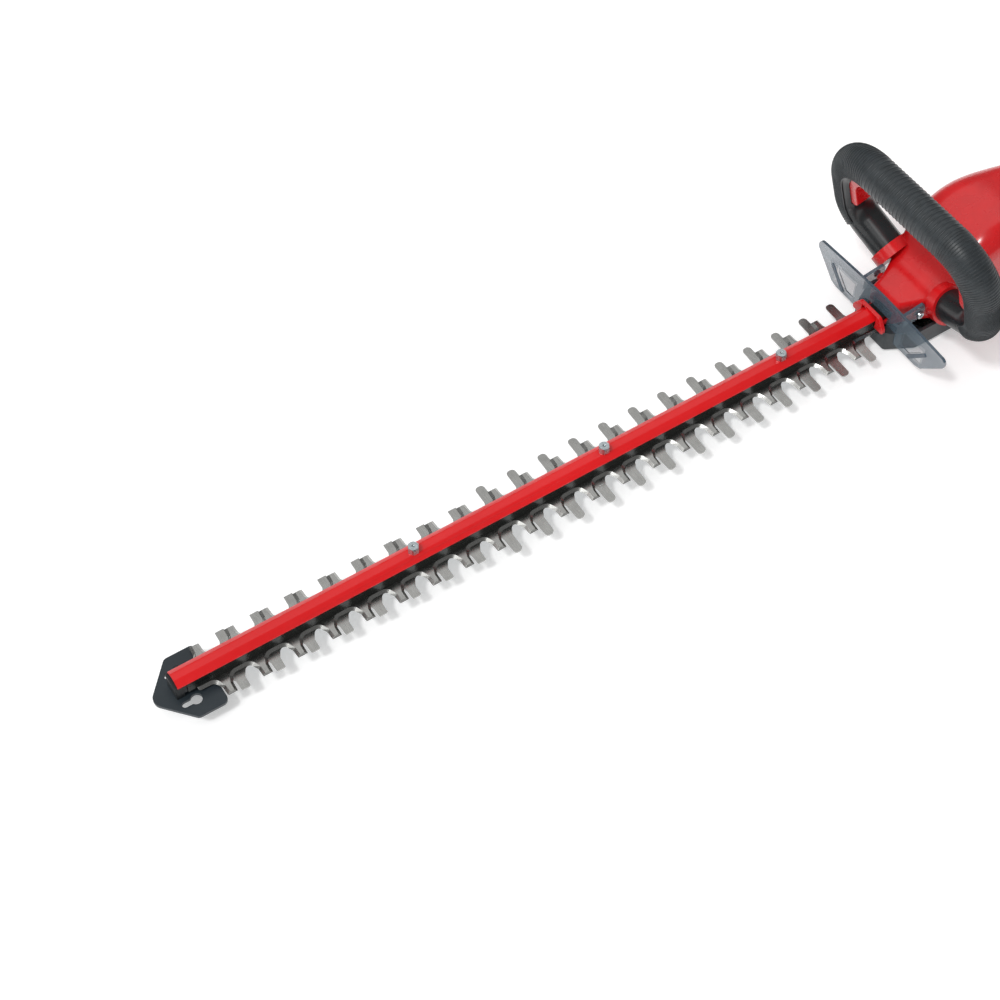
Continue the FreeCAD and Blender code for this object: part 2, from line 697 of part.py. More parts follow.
magnet_out = S.motor_radius - S.motor_wall - 0.1
magnet = Part.makeCylinder(magnet_out, S.motor_height - 16, V(GEAR_CENTRES, 0, MOTOR_Z + 8))
magnet = magnet.cut(Part.makeCylinder(S.rotor_radius + 0.5, 100, V(GEAR_CENTRES, 0, 0)))
split = Part.makeBox(12, 100, 100, V(GEAR_CENTRES - 6, -50, 0))
node(feature("MotorMagnets", magnet.cut(split)), "motor_magnets")

fan_low = MOTOR_Z + S.motor_height + 1.0
fan = Part.makeCylinder(S.motor_shaft + 3.0, S.fan_height, V(0, 0, 0))
fan = fan.fuse(Part.makeCylinder(S.motor_radius - 3.0, 1.2, V(0, 0, 0)))
for number in range(9):
    vane = Part.makeBox(S.motor_radius - 7.5, 1.2, S.fan_height, V(4.5, -0.6, 0))
    vane.rotate(V(0, 0, 0), V(0, 0, 1), 40.0 * number)
    fan = fan.fuse(vane)
fan = fan.cut(Part.makeCylinder(S.motor_shaft, 20, V(0, 0, -5)))
fan.translate(V(GEAR_CENTRES, 0, fan_low))
node(feature("CoolingFan", fan.removeSplitter()), "cooling_fan")

# ---------------------------------------------------------------- housing shells


def section(x, half, low, high, corner, inset):
    """A rounded cross-section of the housing at one station along the tool."""
    half -= inset
    open_floor = inset > 0 and low == TRAY_TOP
    low += -8.0 if open_floor else inset
    high -= inset
    corner = max(corner - inset, 1.5)
    points = [(half, low, min(corner, 8.0)), (half, high, corner),
              (-half, high, corner), (-half, low, min(corner, 8.0))]
    return rounded(points, lambda a, b: V(x, a, b))


def lofted(stations, inset=0.0, end_inset=0.0):
    """A smooth body through several stations (x, half width, low, high, corner)."""
    wires = []
    for number, (x, half, low, high, corner) in enumerate(stations):
        shift = 0.0
        if number == 0:
            shift = end_inset
        if number == len(stations) - 1:
            shift = -end_inset
        wires.append(section(x + shift, half, low, high, corner, inset))
    return Part.makeLoft(wires, True, False)


TRAY_TOP = S.tray_top + S.gap
BODY_STATIONS = [
    (-49.0, 16.0, TRAY_TOP, 44.0, 4.0),
    (-33.0, 21.5, TRAY_TOP, 46.0, 5.0),
    (-20.0, 28.5, TRAY_TOP, 49.0, 7.0),
    (-8.0, 35.0, TRAY_TOP, 60.0, 11.0),
    (6.0, S.motor_radius + 18.5, TRAY_TOP, 86.0, 17.0),
    (20.0, S.motor_radius + 20.0, TRAY_TOP, 99.0, 20.0),
    (60.0, S.motor_radius + 20.0, TRAY_TOP, 104.0, 21.0),
    (92.0, 34.0, 16.0, 101.0, 18.0),
    (118.0, 24.0, 12.0, 96.0, 14.0),
]
BEAM_STATIONS = [
    (90.0, 27.0, S.beam_low + 6.0, S.beam_top + 8.0, 9.0),
    (125.0, 25.0, S.beam_low, S.beam_top, 9.0),
    (172.0, 25.0, S.beam_low, S.beam_top, 9.0),
    (220.0, 25.0, S.beam_low, S.beam_top, 9.0),
    (S.handle_back, S.beam_half + 8.0, S.beam_low, S.beam_top + 4.0, 10.0),
]
DOCK_STATIONS = [
    (236.0, 25.0, S.beam_low + 1.0, S.dock_top + 1.0, 12.0),
    (254.0, 34.0, S.beam_low, S.dock_top + 1.0, 12.0),
    (S.dock_x, S.dock_half, S.beam_low, S.dock_top, 10.0),
]
grip_low = S.handle_axis - 14.0
grip_high = S.handle_axis + 13.0
HANDLE_STATIONS = [
    (96.0, 18.0, grip_low - 8.0, grip_high + 1.0, 12.0),
    (122.0, S.handle_half, grip_low, grip_high, 13.0),
    (180.0, S.handle_half, grip_low + 1.0, grip_high + 2.0, 13.0),
    (232.0, S.handle_half, grip_low, grip_high, 13.0),
    (S.handle_back, 20.0, grip_low - 8.0, grip_high - 1.0, 13.0),
]
ALL_STATIONS = (BODY_STATIONS, BEAM_STATIONS, DOCK_STATIONS, HANDLE_STATIONS)

# the front loop stands in a plane that leans forward; y runs across and s up along that plane
LEAN = math.radians(S.loop_lean)
LOOP_UP = V(-math.sin(LEAN), 0, math.cos(LEAN))
LOOP_ACROSS = V(math.cos(LEAN), 0, math.sin(LEAN))
LOOP_FOOT = V(S.loop_x, 0, S.loop_z)


def in_loop(y, s):
    """A point of the loop's plane."""
    return LOOP_FOOT + V(0, y, 0) + LOOP_UP * s


def loop_path(low_s):
    """The centreline of the front loop, from one foot over the top to the other."""
    foot_y = S.loop_root + 3.0 * low_s / 1.25
    corners = [
        (foot_y, low_s),
        (S.loop_half, (S.loop_half - S.loop_root) * 0.42, 28.0),
        (S.loop_half, S.loop_rise, S.loop_corner),
        (-S.loop_half, S.loop_rise, S.loop_corner),
        (-S.loop_half, (S.loop_half - S.loop_root) * 0.42, 28.0),
        (-foot_y, low_s),
    ]
    return rounded(corners, in_loop, closed=False)


def mirror_y(shape):
    """The same shape on the other side of the tool."""
    return shape.mirror(V(0, 0, 0), V(0, 1, 0))


def loop_tube(radius, low_s=0.0):
    """A round tube along the loop's centreline."""
    path = loop_path(low_s)
    start = path.Edges[0]
    at = start.valueAt(start.FirstParameter)
    heading = start.tangentAt(start.FirstParameter)
    ring = Part.Wire(Part.makeCircle(radius, at, heading))
    return path.makePipeShell([ring], True, True, 2)


def socket(radius, length, back):
    """The round boss on the left side of the housing that holds a foot of the loop."""
    path = loop_path(0.0)
    edge = path.Edges[0]
    at = edge.valueAt(edge.FirstParameter)
    heading = edge.tangentAt(edge.FirstParameter)
    return Part.makeCylinder(radius, length + back, at - heading * back, heading)


SOCKET_REACH = 6.0
outer = None
for stations in ALL_STATIONS:
    piece = lofted(stations)
    outer = piece if outer is None else outer.fuse(piece)
boss = socket(S.loop_tube + 3.0, SOCKET_REACH, 4.0)
outer = outer.fuse(boss).fuse(mirror_y(boss))

inner = None
for stations in ALL_STATIONS:
    piece = lofted(stations, S.shell_wall, S.shell_wall)
    inner = piece if inner is None else inner.fuse(piece)
shell = outer.cut(inner)
BOX = 400.0
left_space = Part.makeBox(2 * BOX, BOX, 2 * BOX, V(-BOX, 0, -BOX))
shell = shell.cut(loop_tube(S.loop_tube + 2 * S.fit_play, -S.gap))
right_space = mirror_y(left_space)
# openings of the housing shells: motor and throat, trigger, lock-off button, dock and vents
CHEEK_HALF = S.cover_width / 2 + 3.0
shell = shell.cut(Part.makeBox(30, 2 * (CHEEK_HALF + S.gap), 14.5, V(
    -60, -CHEEK_HALF - S.gap, 20)))
for number in range(6):
    vent = Part.makeBox(2.4, 200, 22.0, V(62.0 + 6.0 * number, -100, 60.0))
    shell = shell.cut(vent)
TRIGGER_X = 140.0
TRIGGER_LONG = 46.0
TRIGGER_HALF = 7.0
trigger_top = grip_low + 9.0
shell = shell.cut(Part.makeBox(TRIGGER_LONG + 8.0, 2 * TRIGGER_HALF + 1.0, 12.0, V(
    TRIGGER_X - 6.0, -TRIGGER_HALF - 0.5, grip_low - 5.0)))
LOCK_X = 122.0
LOCK_RADIUS = 6.0
shell = shell.cut(Part.makeCylinder(LOCK_RADIUS + S.gap, 30, V(LOCK_X, 0, grip_high - 9.0)))
RAIL_HALF = 12.0
RAIL_LIP = 17.0
RAIL_NECK = 3.6
RAIL_DEEP = 8.0
RAIL_LOW = 26.0
neck_room = Part.makeBox(RAIL_NECK + 2, 2 * (RAIL_HALF + S.gap), 200, V(
    S.dock_x - RAIL_NECK, -RAIL_HALF - S.gap, RAIL_LOW))
shell = shell.cut(neck_room)
shell = shell.cut(Part.makeBox(5.2, 2 * (RAIL_LIP + S.gap), 30, V(
    S.dock_x - RAIL_NECK - S.gap - 3.0, -RAIL_LIP - S.gap, S.dock_top - 12.0)))
PIN_RADIUS = 1.5
PIN_HALF = S.handle_half - 2.0
trigger_pin_z = grip_low + 7.5
pin_room = Part.makeCylinder(PIN_RADIUS + S.fit_play, 2 * (PIN_HALF + S.slide_gap), V(
    TRIGGER_X, PIN_HALF + S.slide_gap, trigger_pin_z), V(0, -1, 0))
shell = shell.cut(pin_room)
BOARD_LOW = 14.0
for x in (146.0, 196.0):
    rib = Part.makeBox(3.0, 36.0, BOARD_LOW - S.slide_gap - 8.0, V(x, -18.0, 8.0))
    shell = shell.fuse(rib)

# bosses on both flanks that carry the hand guard's arms
GUARD_SCREW_X = -33.0
GUARD_SCREW_Z = 37.0
ARM_INSIDE = 24.0
ARM_THICK = 3.0
BOSS_FROM = 17.0
SHANK_TO = BOSS_FROM + 1.5
for side in (-1, 1):
    outward = V(0, side, 0)
    foot = V(GUARD_SCREW_X, side * BOSS_FROM, GUARD_SCREW_Z)
    shell = shell.fuse(Part.makeCylinder(3.8, ARM_INSIDE - S.slide_gap - BOSS_FROM, foot, outward))
    bore_from = V(GUARD_SCREW_X, side * (SHANK_TO - S.slide_gap), GUARD_SCREW_Z)
    shell = shell.cut(Part.makeCylinder(S.screw_radius + S.fit_play, 20.0, bore_from, outward))

SCREW_SPOTS = [(70.0, 92.0), (84.0, 28.0), (134.0, 14.0), (214.0, 14.0), (250.0, 86.0),
               (268.0, 16.0)]
screw_shapes = []
for x, z in SCREW_SPOTS:
    column = Part.makeCylinder(S.screw_radius + 2.6, 200, V(x, 100, z), V(0, -1, 0))
    column = column.common(outer)
    shell = shell.fuse(column)
for x, z in SCREW_SPOTS:
    probe = Part.makeCylinder(0.5, 200, V(x, 100, z), V(0, -1, 0)).common(outer)
    side_y = -probe.optimalBoundingBox(True, False).YMin
    sink = side_y - 3.0
    head_room = Part.makeCylinder(S.screw_radius * 2 + S.gap, 60, V(x, -sink, z), V(0, -1, 0))
    bore = Part.makeCylinder(S.screw_radius + S.fit_play, 2 * sink + 20, V(x, sink - 4, z), V(0, -1, 0))
    shell = shell.cut(head_room).cut(bore)
    head = Part.makeCylinder(S.screw_radius * 2, 2.0, V(x, -sink, z), V(0, -1, 0))
    shank = Part.makeCylinder(S.screw_radius, 2 * sink - 8, V(x, sink - 8, z), V(0, -1, 0))
    screw_shapes.append(head.fuse(shank))
node(feature("HousingLeft", shell.cut(right_space)), "housing_left")
node(feature("HousingRight", shell.cut(left_space)), "housing_right")
node(feature("HousingScrews", Part.makeCompound(screw_shapes)), "housing_screws")

# ---------------------------------------------------------------- nose collar and hand guard
collar_corners = [
    (19.0, CARRIER_Z + 2.6, 1.5), (19.0, CARRIER_Z + 7.0, 4.0), (12.5, COVER_TOP + 2.2, 5.0),
    (-12.5, COVER_TOP + 2.2, 5.0), (-19.0, CARRIER_Z + 7.0, 4.0), (-19.0, CARRIER_Z + 2.6, 1.5),
]
collar = upright(collar_corners, S.collar_front, S.collar_thick)
cheeks = Part.makeBox(S.guard_x + S.guard_thick + 1.2 - S.collar_front, 2 * CHEEK_HALF, 4.0,
                      V(S.collar_front, -CHEEK_HALF, CARRIER_Z + 2.6))
collar = collar.fuse(cheeks)
collar_room = Part.makeBox(60, S.carrier_width + 2 * S.gap, COVER_TOP + S.gap, V(
    S.collar_front - 1, -S.carrier_width / 2 - S.gap, 0))
collar = collar.cut(collar_room)
node(feature("NoseCollar", collar.removeSplitter()), "nose_collar")

guard_corners = [
    (-S.guard_half, S.guard_top, 5.0), (-40.0, S.guard_crown - 1.8), (0.0, S.guard_crown),
    (40.0, S.guard_crown - 1.8), (S.guard_half, S.guard_top, 5.0),
    (S.guard_half - 1.0, S.guard_top - 8.0, 3.0), (58.0, S.guard_low + 2.0, 2.0),
    (52.0, S.guard_low, 2.0), (-52.0, S.guard_low, 2.0), (-58.0, S.guard_low + 2.0, 2.0),
    (-S.guard_half + 1.0, S.guard_top - 8.0, 3.0),
]
guard = upright(guard_corners, S.guard_x, S.guard_thick)
for side in (-1, 1):
    panel = [(side * 56.0, 32.0, 3.0), (side * 31.0, 32.0, 3.0), (side * 31.0, 14.0, 3.0),
             (side * 46.0, 14.0, 3.0)]
    guard = guard.cut(upright(panel, S.guard_x + S.guard_thick - S.guard_panel, 5.0))
    rib = rounded([(side * 62.0, 31.0, 1.5), (side * 59.0, 32.5, 1.5), (side * 40.0, 13.0, 1.5),
                   (side * 44.0, 11.5, 1.5)], lambda a, b: V(S.guard_x - 0.9, a, b))
    guard = guard.fuse(Part.Face(rib).extrude(V(S.guard_thick + 0.9, 0, 0)))
    arm_y = ARM_INSIDE if side > 0 else -ARM_INSIDE - ARM_THICK
    arm_points = [(S.guard_x, 30.0, 1.0), (S.guard_x, 44.6, 1.0), (-28.5, 48.4, 3.0),
                  (-28.5, 33.0, 3.0)]
    arm = Part.Face(rounded(arm_points, lambda a, b: V(a, arm_y, b))).extrude(V(0, ARM_THICK, 0))
    guard = guard.fuse(arm)
slot_half = CHEEK_HALF + S.gap
guard = guard.cut(Part.makeBox(20, 2 * slot_half, COVER_Z + S.gap, V(
    S.guard_x - 8, -slot_half, 0)))
guard = guard.cut(Part.makeCylinder(
    S.screw_radius + S.fit_play, 2 * S.guard_half, V(GUARD_SCREW_X, S.guard_half, GUARD_SCREW_Z),
    V(0, -1, 0)))
grown_tray = [(x - S.gap, y + S.gap, radius) for x, y, radius in tray_corners]
guard = guard.cut(slab(both_sides(grown_tray), 0, S.tray_top + S.gap))
guard = guard.cut(outer)
node(feature("HandGuard", guard.removeSplitter()), "hand_guard")
guard_screws = []
for side in (-1, 1):
    outside = V(GUARD_SCREW_X, side * (ARM_INSIDE + ARM_THICK), GUARD_SCREW_Z)
    outward = V(0, side, 0)
    head = Part.makeCylinder(1.7 * S.screw_radius, 1.8, outside, outward)
    shank = Part.makeCylinder(S.screw_radius, ARM_INSIDE + ARM_THICK - SHANK_TO, V(
        GUARD_SCREW_X, side * SHANK_TO, GUARD_SCREW_Z), outward)
    guard_screws.append(head.fuse(shank))
node(feature("GuardScrews", Part.makeCompound(guard_screws)), "guard_screws")

# ---------------------------------------------------------------- front loop handle
tube = loop_tube(S.loop_tube)
bore_tube = loop_tube(S.loop_tube - S.loop_wall)
paddle_half = S.paddle_width / 2


def loop_prism(points, half):
    """A prism across the loop's plane with an outline in that plane."""
    outline = rounded(points, lambda a, b: in_loop(a, b) - LOOP_ACROSS * half)
    return Part.Face(outline).extrude(LOOP_ACROSS * (2 * half))


PADDLE_OUT = 8.5
PADDLE_IN = 18.0
far_y = S.loop_half - PADDLE_OUT
near_y = S.loop_half - PADDLE_IN
top_out = S.loop_rise - PADDLE_OUT
top_in = S.loop_rise - PADDLE_IN
paddle_points = [
    (far_y, S.paddle_low, 2.0), (far_y, top_out, S.loop_corner - PADDLE_OUT),
    (-far_y, top_out, S.loop_corner - PADDLE_OUT), (-far_y, S.paddle_low, 2.0),
    (-near_y, S.paddle_low, 6.0), (-near_y, top_in, S.loop_corner - PADDLE_IN),
    (near_y, top_in, S.loop_corner - PADDLE_IN), (near_y, S.paddle_low, 6.0),
]
paddle = loop_prism(paddle_points, paddle_half)
node(feature("FrontPaddle", paddle), "front_switch_paddle")

clear = S.gap * 2
channel_points = [
    (far_y + clear, S.paddle_low - clear, 2.0),
    (far_y + clear, top_out + S.paddle_travel + clear, S.loop_corner - PADDLE_OUT),
    (-far_y - clear, top_out + S.paddle_travel + clear, S.loop_corner - PADDLE_OUT),
    (-far_y - clear, S.paddle_low - clear, 2.0),
]
channel = loop_prism(channel_points, paddle_half + clear)
tube_shell = tube.cut(bore_tube).cut(channel)
front_space = Part.makeBox(BOX, 2 * BOX, 2 * BOX, V(-BOX, -BOX, -BOX))
back_space = Part.makeBox(BOX, 2 * BOX, 2 * BOX, V(0, -BOX, -BOX))
for space in (front_space, back_space):
    space.rotate(V(0, 0, 0), V(0, 1, 0), -S.loop_lean)
    space.translate(LOOP_FOOT)
node(feature("LoopFront", tube_shell.cut(back_space)), "front_handle_front_shell")
node(feature("LoopBack", tube_shell.cut(front_space)), "front_handle_back_shell")

GRIP_LOW = 34.0
sleeve = loop_tube(S.loop_tube + S.grip_thick).cut(loop_tube(S.loop_tube + 0.12, -8.0))
above = Part.makeBox(BOX, 2 * BOX, BOX, V(-BOX / 2, -BOX, 0))
above.rotate(V(0, 0, 0), V(0, 1, 0), -S.loop_lean)
above.translate(LOOP_FOOT + LOOP_UP * GRIP_LOW)
inner_points = [(S.loop_half - 6.0, -60.0, 2.0), (S.loop_half - 6.0, S.loop_rise - 6.0, 30.0),
                (6.0 - S.loop_half, S.loop_rise - 6.0, 30.0), (6.0 - S.loop_half, -60.0, 2.0)]
window = loop_prism(inner_points, 30.0)
node(feature("FrontGrip", sleeve.common(above).cut(window)), "front_grip")

# front switch inside the loop's top, and its return springs
SWITCH_TOP = S.loop_rise + S.loop_tube - S.loop_wall - 1.5
SWITCH_LOW = SWITCH_TOP - 7.5
switch_block = loop_prism([(-9.0, SWITCH_LOW, 0.5), (9.0, SWITCH_LOW, 0.5),
                           (9.0, SWITCH_TOP, 0.5), (-9.0, SWITCH_TOP, 0.5)], 5.0)
plunger_low = top_out + S.paddle_travel + S.gap
plunger = Part.makeCylinder(1.5, SWITCH_LOW - plunger_low, in_loop(0, plunger_low), LOOP_UP)
switch_block = switch_block.fuse(plunger)
node(feature("FrontSwitch", switch_block), "front_micro_switch")


def coil_spring(radius, wire_radius, length, turns, at, direction):
    """A small helical compression spring."""
    helix = Part.makeHelix(length / turns, length, radius)
    profile = Part.Wire(Part.makeCircle(wire_radius, V(radius, 0, 0), V(0, 1, 0)))
    spring = Part.Wire(helix.Edges).makePipeShell([profile], True, True)
    rotation = FreeCAD.Rotation(V(0, 0, 1), direction)
    spring.Placement = FreeCAD.Placement(at, rotation)
    return spring


spring_length = S.loop_tube - S.loop_wall + PADDLE_OUT - 1.6
front_springs = []
for side in (-1, 1):
    foot = in_loop(side * 32.0, top_out + 0.6)
    front_springs.append(coil_spring(2.4, 0.4, spring_length, 9, foot, LOOP_UP))
node(feature("FrontSprings", Part.makeCompound(front_springs)), "front_switch_springs")

# ---------------------------------------------------------------- rear handle controls
handle_outer = lofted(HANDLE_STATIONS)
GRIP_FROM = 132.0
GRIP_TO = 226.0
fat_stations = [(x, half + S.grip_thick, low - S.grip_thick, high + S.grip_thick, corner + S.grip_thick)
                for x, half, low, high, corner in HANDLE_STATIONS]
rear_grip = lofted(fat_stations).common(Part.makeBox(GRIP_TO - GRIP_FROM, 100, 200, V(GRIP_FROM, -50, 0)))
snug = [(x, half + 0.12, low - 0.12, high + 0.12, corner)
        for x, half, low, high, corner in HANDLE_STATIONS]
rear_grip = rear_grip.cut(lofted(snug))
rear_grip = rear_grip.cut(Part.makeBox(TRIGGER_LONG + 10.0, 2 * TRIGGER_HALF + 8.0, 20.0, V(
    TRIGGER_X - 12.0, -TRIGGER_HALF - 4.0, grip_low - 12.0)))
node(feature("RearGrip", rear_grip), "rear_grip")

trigger_points = [
    (TRIGGER_X - 4.5, trigger_pin_z + 4.0, 2.0), (TRIGGER_X - 4.5, grip_low - 3.0, 3.0),
    (TRIGGER_X + 4.0, grip_low - 8.0, 6.0), (TRIGGER_X + 22.0, grip_low - 8.0, 20.0),
    (TRIGGER_X + 38.0, grip_low - 12.0, 3.0), (TRIGGER_X + 40.5, grip_low + 4.0, 2.0),
    (TRIGGER_X + 20.0, trigger_pin_z + 3.0, 4.0),
]
trigger = Part.Face(rounded(trigger_points, lambda a, b: V(a, -TRIGGER_HALF, b)))
trigger = trigger.extrude(V(0, 2 * TRIGGER_HALF, 0))
trigger = trigger.cut(Part.makeCylinder(PIN_RADIUS + S.fit_play, 2 * S.handle_half, V(
    TRIGGER_X, S.handle_half, trigger_pin_z), V(0, -1, 0)))
node(feature("Trigger", trigger), "trigger")
node(feature("TriggerPin", Part.makeCylinder(PIN_RADIUS, 2 * PIN_HALF, V(
    TRIGGER_X, PIN_HALF, trigger_pin_z), V(0, -1, 0))), "trigger_pin")
switch_low = trigger_pin_z + 7.0
switch_high = grip_high + 1.6 - S.shell_wall - 0.6
main_switch = Part.makeBox(24.0, 10.0, switch_high - switch_low, V(TRIGGER_X + 12.0, -5.0, switch_low))
node(feature("MainSwitch", main_switch), "main_switch")
node(feature("TriggerSpring", coil_spring(
    2.4, 0.45, 6.0, 4, V(TRIGGER_X + 6.0, 0, trigger_pin_z + 4.2), V(0, 0, 1))), "trigger_spring")

lock_low = grip_high - 7.0
lock_button = Part.makeCylinder(LOCK_RADIUS, 12.0, V(LOCK_X, 0, lock_low))
lock_button = lock_button.fuse(Part.makeCylinder(LOCK_RADIUS + 1.8, 1.6, V(LOCK_X, 0, lock_low)))
node(feature("LockOff", lock_button.removeSplitter()), "lock_off_button")
node(feature("LockSpring", coil_spring(
    3.0, 0.45, lock_low - grip_low - S.shell_wall - 1.6, 8,
    V(LOCK_X, 0, grip_low + S.shell_wall + 0.8), V(0, 0, 1))), "lock_off_spring")

# ---------------------------------------------------------------- controls inside the beam
BOARD_THICK = 1.6
SINK_LOW = BOARD_LOW + BOARD_THICK + S.slide_gap
board = Part.makeBox(66.0, 34.0, BOARD_THICK, V(140.0, -17.0, BOARD_LOW))
node(feature("ControlBoard", board), "control_board")
sink = Part.makeBox(40.0, 24.0, 3.0, V(150.0, -12.0, SINK_LOW))
for number in range(7):
    sink = sink.fuse(Part.makeBox(40.0, 1.2, 12.0, V(150.0, -11.4 + 3.6 * number, SINK_LOW)))
node(feature("HeatSink", sink.removeSplitter()), "heat_sink")

# ---------------------------------------------------------------- battery dock and battery
terminal = Part.makeBox(9.0, 20.0, 30.0, V(S.dock_x - RAIL_NECK - RAIL_DEEP - 4.0, -10.0, 40.0))
plate_x = S.dock_x - RAIL_NECK - RAIL_DEEP - 6.0
terminal = terminal.fuse(Part.makeBox(2.0, 2 * (S.dock_half - S.shell_wall - 3.4), 30.0, V(
    plate_x, -(S.dock_half - S.shell_wall - 3.4), 40.0)))
node(feature("TerminalBlock", terminal), "terminal_block")

case_x = S.dock_x + S.gap
case_side = [
    (case_x, S.battery_low, 3.0), (case_x, S.battery_top, 5.0),
    (case_x + S.battery_depth * 0.62, S.battery_top, 9.0),
    (case_x + S.battery_depth, S.battery_top - 26.0, 16.0),
    (case_x + S.battery_depth, S.battery_low, 10.0),
]


def battery_body(inset):
    """The battery's outer form, shrunk all round by an inset."""
    case_plan = [
        (case_x - 2.0, -S.battery_half + inset, 0.0),
        (case_x - 2.0, S.battery_half - inset, 0.0),
        (case_x + S.battery_depth - inset, S.battery_half - inset, 10.0),
        (case_x + S.battery_depth - inset, -S.battery_half + inset, 10.0),
    ]
    middle_x = case_x + S.battery_depth / 2
    middle_z = (S.battery_low + S.battery_top) / 2
    grown = []
    for x, z, radius in case_side:
        grown.append((x + math.copysign(inset, middle_x - x), z + math.copysign(inset, middle_z - z),
                      max(radius - inset, 1.0)))
    side = Part.Face(rounded(grown, lambda a, b: V(a, -100, b))).extrude(V(0, 200, 0))
    plan = slab(case_plan, 0, 200)
    return side.common(plan)


battery = battery_body(0.0).cut(battery_body(S.battery_wall))
battery_split = S.battery_low + 0.46 * (S.battery_top - S.battery_low)
neck = Part.makeBox(RAIL_NECK + S.gap + 0.6, 2 * RAIL_HALF, 58.0, V(
    S.dock_x - RAIL_NECK - 0.6, -RAIL_HALF, RAIL_LOW + 1.0))
lip = Part.makeBox(2.6, 2 * RAIL_LIP, 58.0, V(
    S.dock_x - RAIL_NECK - S.gap - 2.6, -RAIL_LIP, RAIL_LOW + 1.0))
battery = battery.fuse(neck).fuse(lip)
LATCH_LONG = 15.4
LATCH_HALF = 11.0
latch_x = case_x + 12.3
latch_room = Part.makeBox(LATCH_LONG + 2 * S.gap, 2 * (LATCH_HALF + S.gap), 30.0, V(
    latch_x - S.gap, -LATCH_HALF - S.gap, S.battery_top - 4.0))
battery = battery.cut(latch_room)
upper_half = Part.makeBox(BOX, BOX, BOX, V(0, -BOX / 2, battery_split))
node(feature("BatteryUpper", battery.common(upper_half).removeSplitter()), "battery_case_upper")
node(feature("BatteryLower", battery.cut(upper_half).removeSplitter()), "battery_case_lower")

cells = []
cell_room = 2 * S.cell_radius + 0.6
cell_x = case_x + S.battery_wall + S.cell_radius + 0.5
cell_z = S.battery_low + S.battery_wall + S.cell_radius + 0.4
for column_number, rows in ((0, 4), (1, 3)):
    for row_number in range(rows):
        at = V(cell_x + column_number * cell_room, S.cell_length / 2, cell_z + row_number * cell_room)
        cells.append(Part.makeCylinder(S.cell_radius, S.cell_length, at, V(0, -1, 0)))
node(feature("BatteryCells", Part.makeCompound(cells)), "battery_cells")

latch = Part.makeBox(LATCH_LONG, 2 * LATCH_HALF, 4.4, V(latch_x, -LATCH_HALF, S.battery_top - 3.4))
node(feature("BatteryLatch", latch), "battery_latch")

# ---------------------------------------------------------------- feet
feet = []
for x, y in ((0.0, 0.0), (-30.0, 22.0), (-30.0, -22.0), (40.0, 22.0), (40.0, -22.0)):
    feet.append(Part.makeCylinder(6.0, S.foot_height, V(x, y, 0)))
node(feature("TrayFeet", Part.makeCompound(feet)), "rubber_feet")
node(box("RearFoot", 180, 0, 0, 50, 30, "beam_low - gap * 3"), "rear_foot")

# ---------------------------------------------------------------- checks and export
doc.recompute()
problems = [obj.Name for obj in doc.Objects if "Invalid" in obj.State or "Error" in obj.State]
for sub_part in NODES:
    if sub_part.Shape.isNull() or not sub_part.Shape.isValid():
        problems.append(sub_part.Label)
if problems:
    raise RuntimeError("these objects failed: " + ", ".join(problems))
os.makedirs("parts", exist_ok=True)
for sub_part in NODES:
    sub_part.Shape.exportStep(f"parts/{sub_part.Label}.step")
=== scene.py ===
"""The looks of a cordless hedge trimmer: its finishes, its fine detail and a studio to see it in.

Laid out as an add-on: sizes and colours are properties, each piece or group of like pieces has an
operator, and a panel lists them.  Run as a script, it builds everything once.  Lengths are metres.
"""
import json
import math

import bmesh
import bpy
from bpy.props import FloatProperty, FloatVectorProperty, PointerProperty
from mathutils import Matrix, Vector


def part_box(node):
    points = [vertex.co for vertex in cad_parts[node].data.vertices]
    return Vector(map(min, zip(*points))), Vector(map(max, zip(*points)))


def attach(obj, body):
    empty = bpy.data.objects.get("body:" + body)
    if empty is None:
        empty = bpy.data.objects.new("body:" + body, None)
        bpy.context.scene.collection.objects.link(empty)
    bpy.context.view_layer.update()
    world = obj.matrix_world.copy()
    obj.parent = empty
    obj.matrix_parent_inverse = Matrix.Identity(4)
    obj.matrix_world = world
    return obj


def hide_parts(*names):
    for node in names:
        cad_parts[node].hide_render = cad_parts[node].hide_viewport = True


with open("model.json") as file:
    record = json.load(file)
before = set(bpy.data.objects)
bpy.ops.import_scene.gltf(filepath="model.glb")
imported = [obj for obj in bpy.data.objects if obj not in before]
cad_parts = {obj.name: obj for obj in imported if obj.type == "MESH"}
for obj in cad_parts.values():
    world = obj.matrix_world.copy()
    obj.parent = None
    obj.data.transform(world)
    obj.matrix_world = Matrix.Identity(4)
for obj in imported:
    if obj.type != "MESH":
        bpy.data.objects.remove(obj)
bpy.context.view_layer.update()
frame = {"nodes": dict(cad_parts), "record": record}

bl_info = {
    "name": "Hedge trimmer finishes",
    "version": (1, 0, 0),
    "blender": (4, 5, 0),
    "location": "3D View > Sidebar > Trimmer",
    "description": "Gives the packed hedge trimmer its surfaces, fasteners, grips and studio",
    "category": "Object",
}

MM = 0.001
NODES = frame["nodes"]
BODY_OF_NODE = {
    node: body
    for body, members in frame["record"]["behaviour"]["bodies"].items()
    for node in members
}


def linear(code):
    """A colour written as #RRGGBB in sRGB, as the linear RGBA that Blender's sockets take."""
    channels = [int(code[start:start + 2], 16) / 255 for start in (1, 3, 5)]
    return [c / 12.92 if c <= 0.04045 else ((c + 0.055) / 1.055) ** 2.4 for c in channels] + [1.0]


def colour(title, text, code):
    """A colour property whose default is an sRGB code."""
    return FloatVectorProperty(name=title, description=text, subtype="COLOR", size=4,
                               min=0.0, max=1.0, default=linear(code))


def length(title, text, size):
    """A length property in metres."""
    return FloatProperty(name=title, description=text, default=size, unit="LENGTH", precision=5)


# ---------------------------------------------------------------- properties


